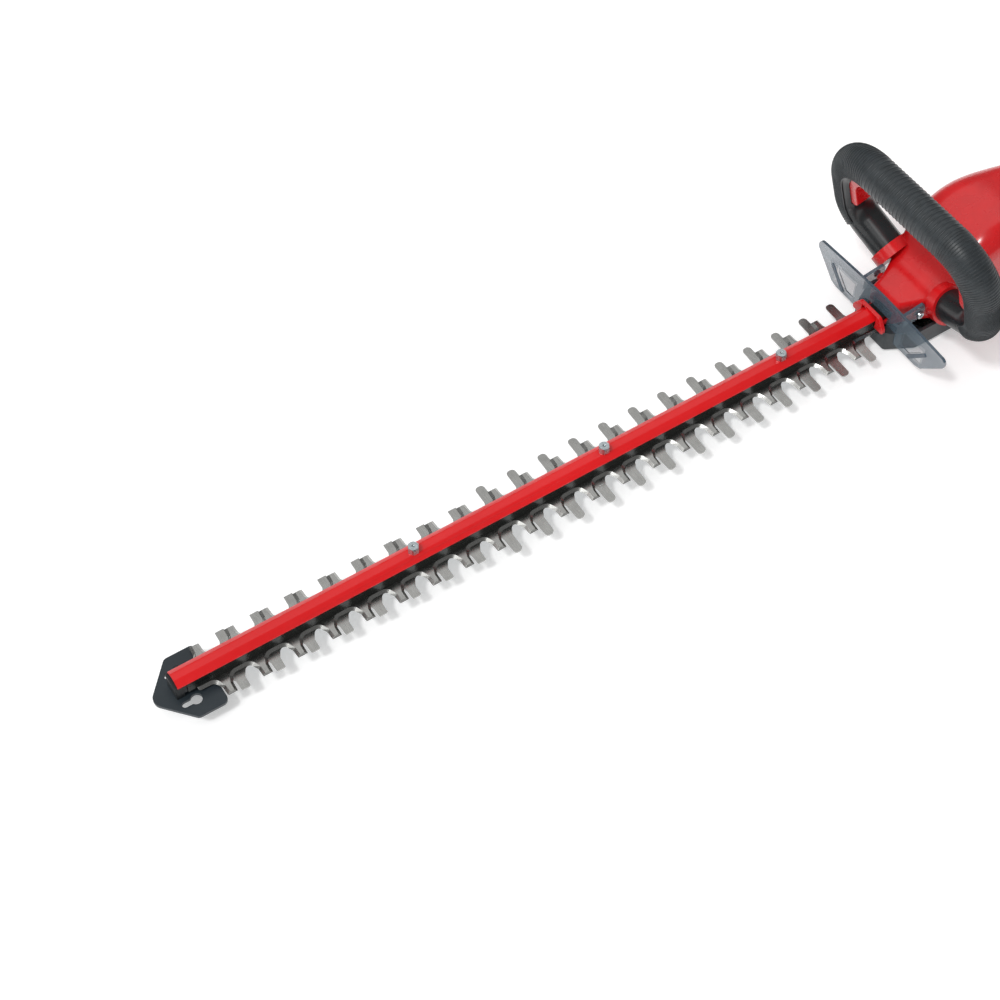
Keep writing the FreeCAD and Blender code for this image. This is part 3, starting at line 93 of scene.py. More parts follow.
class BarLook(bpy.types.PropertyGroup):
    """The cutting bar, its blades and its bolts."""

    cover: colour("Cover", "Powder coat of the bar cover", "#DC0E14")
    steel: colour("Blade steel", "Ground face of the blades", "#B4B4B1")
    steel_dark: colour("Blade shade", "Darker grinding marks on the blades", "#959593")
    extrusion: colour("Carrier", "Black anodised bar under the cover", "#161816")
    tip: colour("Tip guard", "Moulded plate at the tip", "#262F35")
    zinc: colour("Zinc", "Plating of bolts and nuts", "#C6D0D4")
    cover_edge: length("Cover edge", "Rounding of the cover's cut edges", 0.4 * MM)
    tip_edge: length("Tip edge", "Rounding of the tip guard's edges", 0.7 * MM)
    bolt_chamfer: length("Bolt chamfer", "Chamfer round the top of a hexagon head", 0.7 * MM)
    bolt_dimple: length("Bolt dimple", "Radius of the dish in a hexagon head", 1.7 * MM)
    streak: length("Grinding mark", "Width of one grinding mark, drawn coarser to show", 0.35 * MM)


class BodyLook(bpy.types.PropertyGroup):
    """The housing, guard, handles and battery."""

    shell: colour("Housing", "Moulded gloss red of the housing", "#D2151A")
    black: colour("Black mouldings", "Loop, trigger and battery", "#1E2123")
    rubber: colour("Soft grip", "Ribbed elastomer of the grips", "#2B3033")
    smoke: colour("Guard", "Clear smoke sheet of the hand guard", "#5C6F7C")
    smoke_rim: colour("Guard rim", "Thicker rim and ribs of the hand guard", "#2C4354")
    casting: colour("Castings", "Coated gearbox castings", "#34393C")
    shell_edge: length("Housing edge", "Rounding of the housing's edges and seam", 0.5 * MM)
    handle_edge: length("Handle edge", "Rounding of the loop's seams", 0.35 * MM)
    fine_rib: length("Fine rib pitch", "Spacing of the ribs on the loop's legs", 1.9 * MM)
    coarse_rib: length("Coarse rib pitch", "Spacing of the ribs on the loop's crossbar", 4.2 * MM)
    tube_radius: length("Loop tube", "Radius of the front loop's tube", 14.5 * MM)
    sleeve_radius: length("Grip sleeve", "Radius over the ribs of the soft grip", 16.0 * MM)
    cross_width: length("Cross slot", "Width of the cross in a screw head", 0.9 * MM)


class StageLook(bpy.types.PropertyGroup):
    """The studio."""

    floor_size: length("Floor", "Side of the square floor", 9.0)
    key: FloatProperty(name="Key lamp", description="Strength of the soft key lamp", default=1.2)
    sky: FloatProperty(name="Sky", description="Strength of the even white surround", default=0.4)
    softbox: FloatProperty(name="Softbox", description="Power of the overhead softbox",
                           default=10.0, unit="POWER")
    window: FloatProperty(name="Window", description="Power of the lamp beyond the tip",
                          default=14.0, unit="POWER")
    fill: FloatProperty(name="Fill", description="Power of the lamp on the near side",
                        default=10.0, unit="POWER")
    lift: FloatProperty(name="Floor lift", description="Light the floor adds where it is seen",
                        default=0.27)
    lens: FloatProperty(name="Lens", description="Focal length", default=67.43, unit="CAMERA")
    stand: FloatVectorProperty(name="Camera", description="Where the camera stands",
                               subtype="TRANSLATION", default=(-0.87571, -0.69693, 1.20393))
    look_down: FloatProperty(name="Look down", description="Tilt below the horizon",
                             subtype="ANGLE", default=math.radians(54.503))
    heading: FloatProperty(name="Heading", description="Turn of the camera to the right of +Y",
                           subtype="ANGLE", default=math.radians(32.799))


# ---------------------------------------------------------------- node helpers


def add(tree, kind, values=None, links=None, **settings):
    """Add a node, apply its settings, fill its sockets and link its inputs."""
    node = tree.nodes.new(kind)
    for key, value in settings.items():
        setattr(node, key, value)
    for key, value in (values or {}).items():
        node.inputs[key].default_value = value
    for key, source in (links or {}).items():
        tree.links.new(source, node.inputs[key])
    return node


def surface(name, values):
    """A new material with one Principled shader; gives it, its tree, shader and coordinates."""
    material = bpy.data.materials.new(name)
    material.use_nodes = True
    tree = material.node_tree
    tree.nodes.clear()
    shader = add(tree, "ShaderNodeBsdfPrincipled", values)
    add(tree, "ShaderNodeOutputMaterial", links={"Surface": shader.outputs["BSDF"]})
    at = add(tree, "ShaderNodeTexCoord").outputs["Object"]
    return material, tree, shader, at


def grain(tree, at, size, stretch=(1.0, 1.0, 1.0), detail=3.0):
    """A noise pattern with features of a real size, drawn out along an axis by stretch."""
    drawn = add(tree, "ShaderNodeMapping", {"Scale": [1.0 / part for part in stretch]},
                {"Vector": at})
    return add(tree, "ShaderNodeTexNoise", {"Scale": 1.0 / size, "Detail": detail},
               {"Vector": drawn.outputs["Vector"]}).outputs["Fac"]


def tint(tree, shader, pattern, dark, light, low=0.35, high=0.65):
    """Vary the base colour between two shades by a pattern."""
    ramp = add(tree, "ShaderNodeValToRGB", links={"Fac": pattern})
    first, last = ramp.color_ramp.elements
    first.position, last.position = low, high
    first.color, last.color = dark, light
    tree.links.new(ramp.outputs["Color"], shader.inputs["Base Color"])


def gloss(tree, shader, pattern, low, high):
    """Vary the roughness between two values by a pattern."""
    spread = add(tree, "ShaderNodeMapRange",
                 {"From Min": 0.3, "From Max": 0.7, "To Min": low, "To Max": high},
                 {"Value": pattern})
    tree.links.new(spread.outputs["Result"], shader.inputs["Roughness"])


def relief(tree, shader, pattern, depth, strength=1.0):
    """Raise the surface by a pattern, depth metres at most."""
    bump = add(tree, "ShaderNodeBump", {"Strength": strength, "Distance": depth},
               {"Height": pattern})
    tree.links.new(bump.outputs["Normal"], shader.inputs["Normal"])


def shade(base, factor):
    """A linear colour made darker or lighter."""
    return [min(1.0, channel * factor) for channel in base[:3]] + [1.0]


# ---------------------------------------------------------------- materials


def powder_coated_steel(look):
    """Sheet steel, powder coated: an even gloss red with faint orange peel and fine dust marks."""
    material, tree, shader, at = surface("powder_coated_sheet_steel", {
        "Roughness": 0.34, "Coat Weight": 0.1, "Coat Roughness": 0.15, "IOR": 1.5})
    tint(tree, shader, grain(tree, at, 45 * MM, (3.0, 1.0, 1.0)), shade(look.cover, 0.94),
         shade(look.cover, 1.04))
    gloss(tree, shader, grain(tree, at, 12 * MM), 0.3, 0.4)
    relief(tree, shader, grain(tree, at, 1.6 * MM, detail=1.0), 0.02 * MM, 0.35)
    return material


def ground_steel(look):
    """Hardened blade steel, surface ground across the bar: satin, with fine parallel marks."""
    material, tree, shader, at = surface("surface_ground_blade_steel", {
        "Metallic": 1.0, "Roughness": 0.26})
    marks = grain(tree, at, look.streak, (0.25, 18.0, 1.0), 4.0)
    tint(tree, shader, marks, look.steel_dark, look.steel, 0.3, 0.6)
    gloss(tree, shader, grain(tree, at, 9 * MM), 0.22, 0.3)
    relief(tree, shader, marks, 0.008 * MM, 0.4)
    return material


def anodised_aluminium(look):
    """Extruded aluminium, anodised black: dark and smooth, with long faint die lines."""
    material, tree, shader, at = surface("black_anodised_extrusion", {
        "Roughness": 0.24, "IOR": 1.45})
    lines = grain(tree, at, 0.9 * MM, (60.0, 1.0, 1.0))
    tint(tree, shader, lines, shade(look.extrusion, 0.8), shade(look.extrusion, 1.5))
    gloss(tree, shader, grain(tree, at, 30 * MM, (2.0, 1.0, 1.0)), 0.18, 0.3)
    relief(tree, shader, lines, 0.02 * MM, 0.3)
    return material


def zinc_plate(look):
    """Steel fasteners, bright zinc plated: bluish silver with soft blotches of passivation."""
    material, tree, shader, at = surface("bright_zinc_plated_steel", {
        "Metallic": 1.0, "Roughness": 0.26})
    tint(tree, shader, grain(tree, at, 1.4 * MM), shade(look.zinc, 0.72), look.zinc)
    gloss(tree, shader, grain(tree, at, 0.8 * MM), 0.2, 0.36)
    return material


def moulded_plastic(name, base, rough, size=0.5 * MM, depth=0.03 * MM, coat=0.0):
    """Injection-moulded plastic with a spark-eroded texture of one grain size."""
    material, tree, shader, at = surface(name, {
        "Roughness": rough, "IOR": 1.5, "Coat Weight": coat, "Coat Roughness": 0.12})
    tint(tree, shader, grain(tree, at, 35 * MM), shade(base, 0.9), shade(base, 1.08))
    gloss(tree, shader, grain(tree, at, 16 * MM), rough - 0.05, rough + 0.06)
    relief(tree, shader, grain(tree, at, size, detail=2.0), depth, 0.5)
    return material


def smoke_sheet(name, base, clear):
    """Moulded clear polycarbonate with smoke pigment: glossy, see-through, darker where thick."""
    material, tree, shader, at = surface(name, {
        "Roughness": 0.1, "IOR": 1.58, "Alpha": clear})
    tint(tree, shader, grain(tree, at, 40 * MM), shade(base, 0.92), shade(base, 1.06))
    gloss(tree, shader, grain(tree, at, 14 * MM), 0.06, 0.16)
    return material


def soft_elastomer(look):
    """Overmoulded thermoplastic elastomer: dull black-grey rubber with a dusty bloom."""
    material, tree, shader, at = surface("moulded_soft_elastomer", {
        "Roughness": 0.42, "IOR": 1.5, "Sheen Weight": 0.1, "Sheen Roughness": 0.4})
    tint(tree, shader, grain(tree, at, 6 * MM, detail=5.0), shade(look.rubber, 0.85),
         shade(look.rubber, 1.25))
    relief(tree, shader, grain(tree, at, 0.4 * MM), 0.03 * MM, 0.5)
    return material


def metal(name, dark, light, rough, size=0.6 * MM, stretch=(1.0, 1.0, 1.0)):
    """A bare or plated metal with machining or casting marks of a given size."""
    material, tree, shader, at = surface(name, {"Metallic": 1.0, "Roughness": rough})
    marks = grain(tree, at, size, stretch, 3.0)
    tint(tree, shader, marks, linear(dark), linear(light))
    relief(tree, shader, marks, 0.02 * MM, 0.4)
    return material


def coated_casting(look):
    """Die-cast aluminium, sprayed dark: a fine sandy skin."""
    material, tree, shader, at = surface("painted_die_casting", {"Roughness": 0.42, "IOR": 1.5})
    tint(tree, shader, grain(tree, at, 8 * MM), shade(look.casting, 0.85),
         shade(look.casting, 1.15))
    relief(tree, shader, grain(tree, at, 0.7 * MM), 0.06 * MM, 0.6)
    return material


def circuit_laminate():
    """Glass-epoxy board with green lacquer: copper runs show as paler bands."""
    material, tree, shader, at = surface("lacquered_glass_epoxy", {"Roughness": 0.3})
    runs = add(tree, "ShaderNodeTexWave", {"Scale": 1.0 / (24 * MM), "Distortion": 6.0},
               {"Vector": at}, bands_direction="Y")
    tint(tree, shader, runs.outputs["Fac"], linear("#12472B"), linear("#2C7A4A"), 0.45, 0.55)
    return material


def floor_paper(stage):
    """White background paper: lit by the lamps, and lifted to plain white where the eye sees it."""
    material, tree, shader, _ = surface("white_background_paper", {
        "Base Color": linear("#F6F6F6"), "Roughness": 0.9, "Specular IOR Level": 0.1})
    path = add(tree, "ShaderNodeLightPath")
    seen = add(tree, "ShaderNodeMath", links={0: path.outputs["Is Camera Ray"],
                                              1: path.outputs["Is Glossy Ray"]},
               operation="MAXIMUM")
    seen = add(tree, "ShaderNodeMath", links={0: seen.outputs[0],
                                              1: path.outputs["Is Transmission Ray"]},
               operation="MAXIMUM")
    lift = add(tree, "ShaderNodeMath", {1: stage.lift}, {0: seen.outputs[0]},
               operation="MULTIPLY")
    shader.inputs["Emission Color"].default_value = (1.0, 1.0, 1.0, 1.0)
    tree.links.new(lift.outputs[0], shader.inputs["Emission Strength"])
    return material


MATERIALS = {}


def finish_of(key):
    """The material of one kind of piece, made the first time it is asked for."""
    if key not in MATERIALS:
        bar = bpy.context.scene.trimmer_bar
        body = bpy.context.scene.trimmer_body
        makers = {
            "cover": lambda: powder_coated_steel(bar),
            "blade": lambda: ground_steel(bar),
            # Painted shade: the blades' upright sides in near-black steel, standing in for the
            # shadow and dark surroundings they reflect.
            "edge": lambda: metal("scaled_stamped_steel_edge", "#1E1E1D", "#3A3A38", 0.5),
            "carrier": lambda: anodised_aluminium(bar),
            "zinc": lambda: zinc_plate(bar),
            "tip": lambda: moulded_plastic("moulded_glass_filled_nylon", bar.tip, 0.4, 0.7 * MM),
            "shell": lambda: moulded_plastic("moulded_gloss_abs", body.shell, 0.27, 3 * MM,
                                             0.02 * MM, 0.25),
            "black": lambda: moulded_plastic("moulded_black_nylon", body.black, 0.42),
            "loop": lambda: moulded_plastic("moulded_satin_black_nylon", body.black, 0.3, 2 * MM,
                                            0.02 * MM, 0.15),
            "rubber": lambda: soft_elastomer(body),
            "window": lambda: smoke_sheet("thin_smoke_polycarbonate", body.smoke, 0.22),
            "smoke": lambda: smoke_sheet("smoke_polycarbonate", body.smoke, 0.5),
            "rim": lambda: smoke_sheet("smoke_polycarbonate_rim", body.smoke_rim, 0.9),
            "casting": lambda: coated_casting(body),
            "steel": lambda: metal("turned_bearing_steel", "#8E9092", "#B9BBBC", 0.3),
            "iron": lambda: metal("stacked_motor_laminations", "#6E7072", "#8E8F90", 0.45,
                                  0.5 * MM, (40.0, 40.0, 1.0)),
            "copper": lambda: metal("enamelled_copper_wire", "#8A4722", "#C77A3C", 0.35),
            "magnet": lambda: metal("sintered_ferrite_magnet", "#3A3B3C", "#4C4D4E", 0.6),
            "board": circuit_laminate,
            "sleeve": lambda: moulded_plastic("shrink_film_cell_sleeve", linear("#2A6B9C"), 0.3),
        }
        MATERIALS[key] = makers[key]()
    return MATERIALS[key]


# ---------------------------------------------------------------- piece helpers


def merged(node):
    """A CAD node's mesh with its loose triangles joined and its flat faces made whole."""
    work = bmesh.new()
    work.from_mesh(NODES[node].data)
    bmesh.ops.remove_doubles(work, verts=work.verts, dist=1e-6)
    bmesh.ops.dissolve_limit(work, angle_limit=math.radians(0.6), verts=work.verts,
                             edges=work.edges)
    return work


def new_piece(name, work, body, materials, smooth_angle=32.0):
    """A bmesh as a finished piece that rides on a body, with soft and sharp edges set."""
    mesh = bpy.data.meshes.new(name)
    work.to_mesh(mesh)
    work.free()
    return dress(bpy.data.objects.new(name, mesh), body, materials, smooth_angle)


def dress(piece, body, materials, smooth_angle=32.0):
    """Link a piece, set its shading and materials, and let it ride on a body."""
    bpy.context.scene.collection.objects.link(piece)
    for polygon in piece.data.polygons:
        polygon.use_smooth = True
    piece.data.set_sharp_from_angle(angle=math.radians(smooth_angle))
    for key in materials:
        piece.data.materials.append(finish_of(key))
    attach(piece, body)
    return piece


def stand_for(piece, node):
    """Let a piece take the place of a CAD node, whose own mesh is hidden."""
    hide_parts(node)
    return piece


def refined(node, materials, edge=0.0, smooth_angle=32.0, segments=2, paint=None, cuts=()):
    """A CAD node's own shape with joined faces, eased edges and smooth curves."""
    work = merged(node)
    for spot, normal in cuts:
        bmesh.ops.bisect_plane(work, geom=[*work.verts, *work.edges, *work.faces],
                               plane_co=spot, plane_no=normal)
    if paint:
        for face in work.faces:
            face.material_index = paint(face)
    piece = new_piece(f"{node}_skin", work, BODY_OF_NODE[node], materials, smooth_angle)
    if edge:
        bevel = piece.modifiers.new("eased_edges", "BEVEL")
        bevel.width = edge
        bevel.segments = segments
        bevel.limit_method = "ANGLE"
        bevel.angle_limit = math.radians(smooth_angle)
        bevel.use_clamp_overlap = True
        bevel.harden_normals = True
    return stand_for(piece, node)


def solid_boxes(node):
    """The lowest and highest corner of each separate solid in a CAD node, sorted along X."""
    work = merged(node)
    left = set(work.verts)
    boxes = []
    while left:
        seed = left.pop()
        found, queue = [seed], [seed]
        while queue:
            for edge in queue.pop().link_edges:
                for vert in edge.verts:
                    if vert in left:
                        left.remove(vert)
                        found.append(vert)
                        queue.append(vert)
        low = Vector([min(v.co[axis] for v in found) for axis in range(3)])
        high = Vector([max(v.co[axis] for v in found) for axis in range(3)])
        boxes.append((low, high))
    work.free()
    return sorted(boxes, key=lambda pair: pair[0].x)


def paint_nodes(key, *nodes):
    """Give CAD nodes that are right as they are their real material."""
    for node in nodes:
        data = NODES[node].data
        data.materials.clear()
        data.materials.append(finish_of(key))


# ---------------------------------------------------------------- geometry node trees


def tree_with(name, lengths):
    """A node tree with a geometry input, named lengths and a material; gives it and its input."""
    tree = bpy.data.node_groups.new(name, "GeometryNodeTree")
    tree.interface.new_socket("Geometry", in_out="INPUT", socket_type="NodeSocketGeometry")
    for title, default in lengths.items():
        socket = tree.interface.new_socket(title, in_out="INPUT", socket_type="NodeSocketFloat")
        socket.default_value = default
    tree.interface.new_socket("Material", in_out="INPUT", socket_type="NodeSocketMaterial")
    tree.interface.new_socket("Geometry", in_out="OUTPUT", socket_type="NodeSocketGeometry")
    return tree, add(tree, "NodeGroupInput").outputs


def close(tree, given, geometry):
    """End a tree: real geometry, in one material."""
    real = add(tree, "GeometryNodeRealizeInstances", links={"Geometry": geometry})
    dressed = add(tree, "GeometryNodeSetMaterial",
                  links={"Geometry": real.outputs["Geometry"], "Material": given["Material"]})
    add(tree, "NodeGroupOutput", links={"Geometry": dressed.outputs["Geometry"]})
    return tree


def grown(name, carrier, tree, values, material, body, smooth_angle=32.0):
    """Run a tree on a carrier object, and keep the result as a plain mesh piece."""
    bpy.context.scene.collection.objects.link(carrier)
    modifier = carrier.modifiers.new(tree.name, "NODES")
    modifier.node_group = tree
    wanted = dict(values, Material=finish_of(material))
    for item in tree.interface.items_tree:
        if item.in_out == "INPUT" and item.name in wanted:
            modifier[item.identifier] = wanted[item.name]
    bpy.context.view_layer.update()
    evaluated = carrier.evaluated_get(bpy.context.evaluated_depsgraph_get())
    mesh = bpy.data.meshes.new_from_object(evaluated)
    if not mesh.polygons:
        raise RuntimeError(f"{name} came out empty")
    bpy.data.objects.remove(carrier)
    return dress(bpy.data.objects.new(name, mesh), body, (), smooth_angle)


def places(name, spots):
    """A carrier of bare points, each with the direction that its fastener faces."""
    mesh = bpy.data.meshes.new(name)
    mesh.from_pydata([spot for spot, _ in spots], [], [])
    facing = mesh.attributes.new("facing", "FLOAT_VECTOR", "POINT")
    for number, (_, direction) in enumerate(spots):
        facing.data[number].vector = direction
    return bpy.data.objects.new(name, mesh)


def cut_from(tree, whole, tool):
    """A solid with another cut out of it."""
    return add(tree, "GeometryNodeMeshBoolean", links={"Mesh 1": whole, "Mesh 2": tool},
               operation="DIFFERENCE", solver="EXACT").outputs["Mesh"]


def set_on_points(tree, given, shape):
    """Put a shape made along +Z on every point, turned to face outwards there."""
    facing = add(tree, "GeometryNodeInputNamedAttribute", {"Name": "facing"},
                 data_type="FLOAT_VECTOR")
    turn = add(tree, "FunctionNodeAlignRotationToVector",
               links={"Vector": facing.outputs["Attribute"]}, axis="Z")
    return add(tree, "GeometryNodeInstanceOnPoints",
               links={"Points": given["Geometry"], "Instance": shape,
                      "Rotation": turn.outputs["Rotation"]}).outputs["Instances"]


def moved(tree, geometry, height):
    """Geometry raised by a length along Z."""
    lift = add(tree, "ShaderNodeCombineXYZ", links={"Z": height})
    return add(tree, "GeometryNodeTransform",
               links={"Geometry": geometry, "Translation": lift.outputs["Vector"]}
               ).outputs["Geometry"]


def scaled(tree, value, factor):
    """value * factor."""
    return add(tree, "ShaderNodeMath", {1: factor}, {0: value}, operation="MULTIPLY").outputs[0]


def sum_of(tree, first, second, factor):
    """first + second * factor."""
    return add(tree, "ShaderNodeMath", {1: factor}, {0: second, 2: first},
               operation="MULTIPLY_ADD").outputs[0]


def on_shanks(tree, given, head, top, sides):
    """End a tree: a head with a round shank hanging from a height, on every point."""
    shank = add(tree, "GeometryNodeMeshCylinder", {"Vertices": sides},
                {"Radius": given["Shank Radius"], "Depth": given["Shank Length"]})
    both = add(tree, "GeometryNodeJoinGeometry")
    for part in (head, moved(tree, shank.outputs["Mesh"],
                             sum_of(tree, top, given["Shank Length"], -0.5))):
        tree.links.new(part, both.inputs["Geometry"])
    return close(tree, given, set_on_points(tree, given, both.outputs["Geometry"]))


CONE_DEPTH = 9 * MM
CONE_ABOVE = 1 * MM
BLOCK_SIZE = (60 * MM, 60 * MM, 15.5 * MM)


def hexagon_bolts():
    """Hexagon heads with a turned chamfer and a dished top, each on its shank."""
    tree, given = tree_with("HexagonBolts", {
        "Flats": 8 * MM, "Head Height": 6.4 * MM, "Chamfer": 0.7 * MM, "Dimple": 1.7 * MM,
        "Shank Radius": 2.5 * MM, "Shank Length": 30 * MM})
    across_corners = add(tree, "ShaderNodeMath", {1: math.sqrt(3)}, {0: given["Flats"]},
                         operation="DIVIDE").outputs[0]
    head = add(tree, "GeometryNodeMeshCylinder", {"Vertices": 6},
               {"Radius": across_corners, "Depth": given["Head Height"]})
    head_low = moved(tree, head.outputs["Mesh"], scaled(tree, given["Head Height"], -0.5))
    cone = add(tree, "GeometryNodeMeshCone", {"Vertices": 72, "Depth": CONE_DEPTH},
               {"Radius Top": sum_of(tree, across_corners, given["Chamfer"], -2.0),
                "Radius Bottom": sum_of(tree, across_corners, given["Chamfer"], 8.0)})
    cone_low = add(tree, "GeometryNodeTransform",
                   {"Translation": (0.0, 0.0, CONE_ABOVE - CONE_DEPTH)},
                   {"Geometry": cone.outputs["Mesh"]})
    block = add(tree, "GeometryNodeMeshCube", {"Size": BLOCK_SIZE})
    chamfered = cut_from(tree, head_low,
                         cut_from(tree, block.outputs["Mesh"], cone_low.outputs["Geometry"]))
    ball = add(tree, "GeometryNodeMeshUVSphere", {"Segments": 40, "Rings": 20},
               {"Radius": given["Dimple"]})
    ball_high = moved(tree, ball.outputs["Mesh"], scaled(tree, given["Dimple"], 0.7))
    return on_shanks(tree, given, cut_from(tree, chamfered, ball_high),
                     scaled(tree, given["Head Height"], -1.0), sides=32)


def cross_screws():
    """Flat round heads with a cross slot, each on its shank."""
    tree, given = tree_with("CrossScrews", {
        "Head Radius": 4 * MM, "Head Height": 2 * MM, "Cross Width": 0.9 * MM,
        "Shank Radius": 2 * MM, "Shank Length": 20 * MM})
    head = add(tree, "GeometryNodeMeshCone", {"Vertices": 48},
               {"Radius Bottom": given["Head Radius"], "Depth": given["Head Height"],
                "Radius Top": sum_of(tree, given["Head Radius"], given["Head Height"], -0.22)})
    drop = scaled(tree, given["Head Height"], -1.0)
    shape = moved(tree, head.outputs["Mesh"], drop)
    arm = scaled(tree, given["Head Radius"], 1.15)
    for first, second in ((arm, given["Cross Width"]), (given["Cross Width"], arm)):
        size = add(tree, "ShaderNodeCombineXYZ",
                   links={"X": first, "Y": second, "Z": given["Head Height"]})
        bar = add(tree, "GeometryNodeMeshCube", links={"Size": size.outputs["Vector"]})
        shape = cut_from(tree, shape, bar.outputs["Mesh"])
    return on_shanks(tree, given, shape, drop, sides=24)


def ribs_on_path():
    """Raised beads across a path, each a part circle round it that faces outwards."""
    tree, given = tree_with("RibsOnPath", {
        "Pitch": 2 * MM, "Ring Radius": 15.5 * MM, "Bead Radius": 0.5 * MM,
        "Sweep": math.radians(216)})
    line = add(tree, "GeometryNodeMeshToCurve", links={"Mesh": given["Geometry"]})
    spaced = add(tree, "GeometryNodeResampleCurve",
                 links={"Curve": line.outputs["Curve"], "Length": given["Pitch"]}, mode="LENGTH")
    arc = add(tree, "GeometryNodeCurveArc", {"Resolution": 30},
              {"Radius": given["Ring Radius"], "Sweep Angle": given["Sweep"]}, mode="RADIUS")
    spin = add(tree, "ShaderNodeCombineXYZ", links={"Z": scaled(tree, given["Sweep"], -0.5)})
    centred = add(tree, "GeometryNodeTransform",
                  links={"Geometry": arc.outputs["Curve"], "Rotation": spin.outputs["Vector"]})
    bead = add(tree, "GeometryNodeCurvePrimitiveCircle", {"Resolution": 8},
               {"Radius": given["Bead Radius"]})
    rib = add(tree, "GeometryNodeCurveToMesh", {"Fill Caps": True},
              {"Curve": centred.outputs["Geometry"], "Profile Curve": bead.outputs["Curve"]})
    tangent = add(tree, "GeometryNodeInputTangent")
    across = add(tree, "FunctionNodeAlignRotationToVector",
                 links={"Vector": tangent.outputs["Tangent"]}, axis="Z")
    outward = add(tree, "GeometryNodeInputNamedAttribute", {"Name": "outward"},
                  data_type="FLOAT_VECTOR")
    turn = add(tree, "FunctionNodeAlignRotationToVector",
               links={"Rotation": across.outputs["Rotation"],
                      "Vector": outward.outputs["Attribute"]}, axis="X", pivot_axis="Z")
    ribs = add(tree, "GeometryNodeInstanceOnPoints",
               links={"Points": spaced.outputs["Curve"], "Instance": rib.outputs["Mesh"],
                      "Rotation": turn.outputs["Rotation"]})
    return close(tree, given, ribs.outputs["Instances"])


TREES = {}


def tree_named(maker):
    """A node tree, built once."""
    if maker not in TREES:
        TREES[maker] = maker()
    return TREES[maker]


# ---------------------------------------------------------------- the front loop's line

LOOP_LEAN = math.radians(16.6)
LOOP_FOOT = Vector((-13 * MM, 0.0, 46 * MM))
LOOP_UP = Vector((-math.sin(LOOP_LEAN), 0.0, math.cos(LOOP_LEAN)))
LOOP_ACROSS = Vector((math.cos(LOOP_LEAN), 0.0, math.sin(LOOP_LEAN)))
LOOP_CORNER = 36 * MM
LEG_LOW = 38.3 * MM
LOW_BEND = 28 * MM
LOW_TURN = math.radians(50)
GRIP_WRAP = 6 * MM
GRIP_STEP = 2 * MM
GRIP_PLAY = 0.1 * MM
FINE_BEAD = 0.45 * MM
COARSE_BEAD = 1.2 * MM
BEAD_SHORT = math.radians(8)


def in_loop(y, rise):
    """A point of the loop's leaning plane."""
    return LOOP_FOOT + Vector((0.0, y, 0.0)) + LOOP_UP * rise


def loop_line(half, top, step):
    """The grip's centreline, from one foot over the top to the other, with outward directions."""
    bend = LOW_TURN * LOW_BEND
    turn = math.pi / 2 * LOOP_CORNER
    leg = top - LOOP_CORNER - LEG_LOW
    bar = half - LOOP_CORNER
    reach = bend + leg + turn + bar
    count = round(2 * reach / step)
    line = []
    for number in range(count + 1):
        run = 2 * reach * number / count
        mirror = -1.0 if run <= reach else 1.0
        run = min(run, 2 * reach - run)
        if run < bend:
            angle = (run - bend) / LOW_BEND
            y = half - LOW_BEND + LOW_BEND * math.cos(angle)
            rise = LEG_LOW + LOW_BEND * math.sin(angle)
        elif run < bend + leg:
            y, rise, angle = half, LEG_LOW + run - bend, 0.0
        elif run < bend + leg + turn:
            angle = (run - bend - leg) / LOOP_CORNER
            y = bar + LOOP_CORNER * math.cos(angle)
            rise = top - LOOP_CORNER + LOOP_CORNER * math.sin(angle)
        else:
            angle = math.pi / 2
            y, rise = bar - (run - bend - leg - turn), top
        outward = Vector((0.0, mirror * math.cos(angle), 0.0)) + LOOP_UP * math.sin(angle)
        line.append((in_loop(mirror * y, rise), outward))
    return line


def swept_band(line, outer, inner, sweep, segments=36):
    """A closed C-shaped sleeve swept along a line, open on its inner side."""
    work = bmesh.new()
    rings = []
    for spot, outward in line:
        ring = []
        for radius, order in ((outer, range(segments + 1)), (inner, range(segments, -1, -1))):
            for number in order:
                angle = -sweep / 2 + sweep * number / segments
                way = outward * math.cos(angle) + LOOP_ACROSS * math.sin(angle)
                ring.append(work.verts.new(spot + way * radius))
        rings.append(ring)
    around = len(rings[0])
    for first, second in zip(rings, rings[1:]):
        for number in range(around):
            following = (number + 1) % around
            work.faces.new((first[number], first[following], second[following], second[number]))
    work.faces.new(reversed(rings[0]))
    work.faces.new(rings[-1])
    bmesh.ops.recalc_face_normals(work, faces=work.faces)
    return work


# ---------------------------------------------------------------- operators

BOLT_HEAD = 6.4 * MM
BOLT_SHANK = 2.5 * MM
SCREW_SHANK = 2 * MM
# Faces steeper than this are the blades' sides, which are painted dark as painted shade.
PAINTED_SHADE_SIDE_TILT = 0.15
RIM_STAND = 0.9 * MM
SHEET_THICK = 2.6 * MM
PANE_HEIGHTS = (14 * MM, 32 * MM)
PANE_REACHES = (31 * MM, 56 * MM)


def cross_screw_heads(node, screws, radius, height, shank):
    """Cross-slotted screws in place of a CAD node's, each at a point and facing outwards."""
    width = bpy.context.scene.trimmer_body.cross_width
    piece = grown(f"{node}_heads", places(f"{node}_places", screws), tree_named(cross_screws), {
        "Head Radius": radius, "Head Height": height, "Cross Width": width,
        "Shank Radius": SCREW_SHANK, "Shank Length": shank}, "zinc", "frame")
    return stand_for(piece, node)


class TRIMMER_OT_bar_cover(bpy.types.Operator):
    """Powder-coated arched cover, with eased cut edges"""

    bl_idname = "trimmer.bar_cover"
    bl_label = "Bar cover"

    def execute(self, context):
        refined("bar_cover", ["cover"], edge=context.scene.trimmer_bar.cover_edge,
                smooth_angle=40.0)
        return {"FINISHED"}


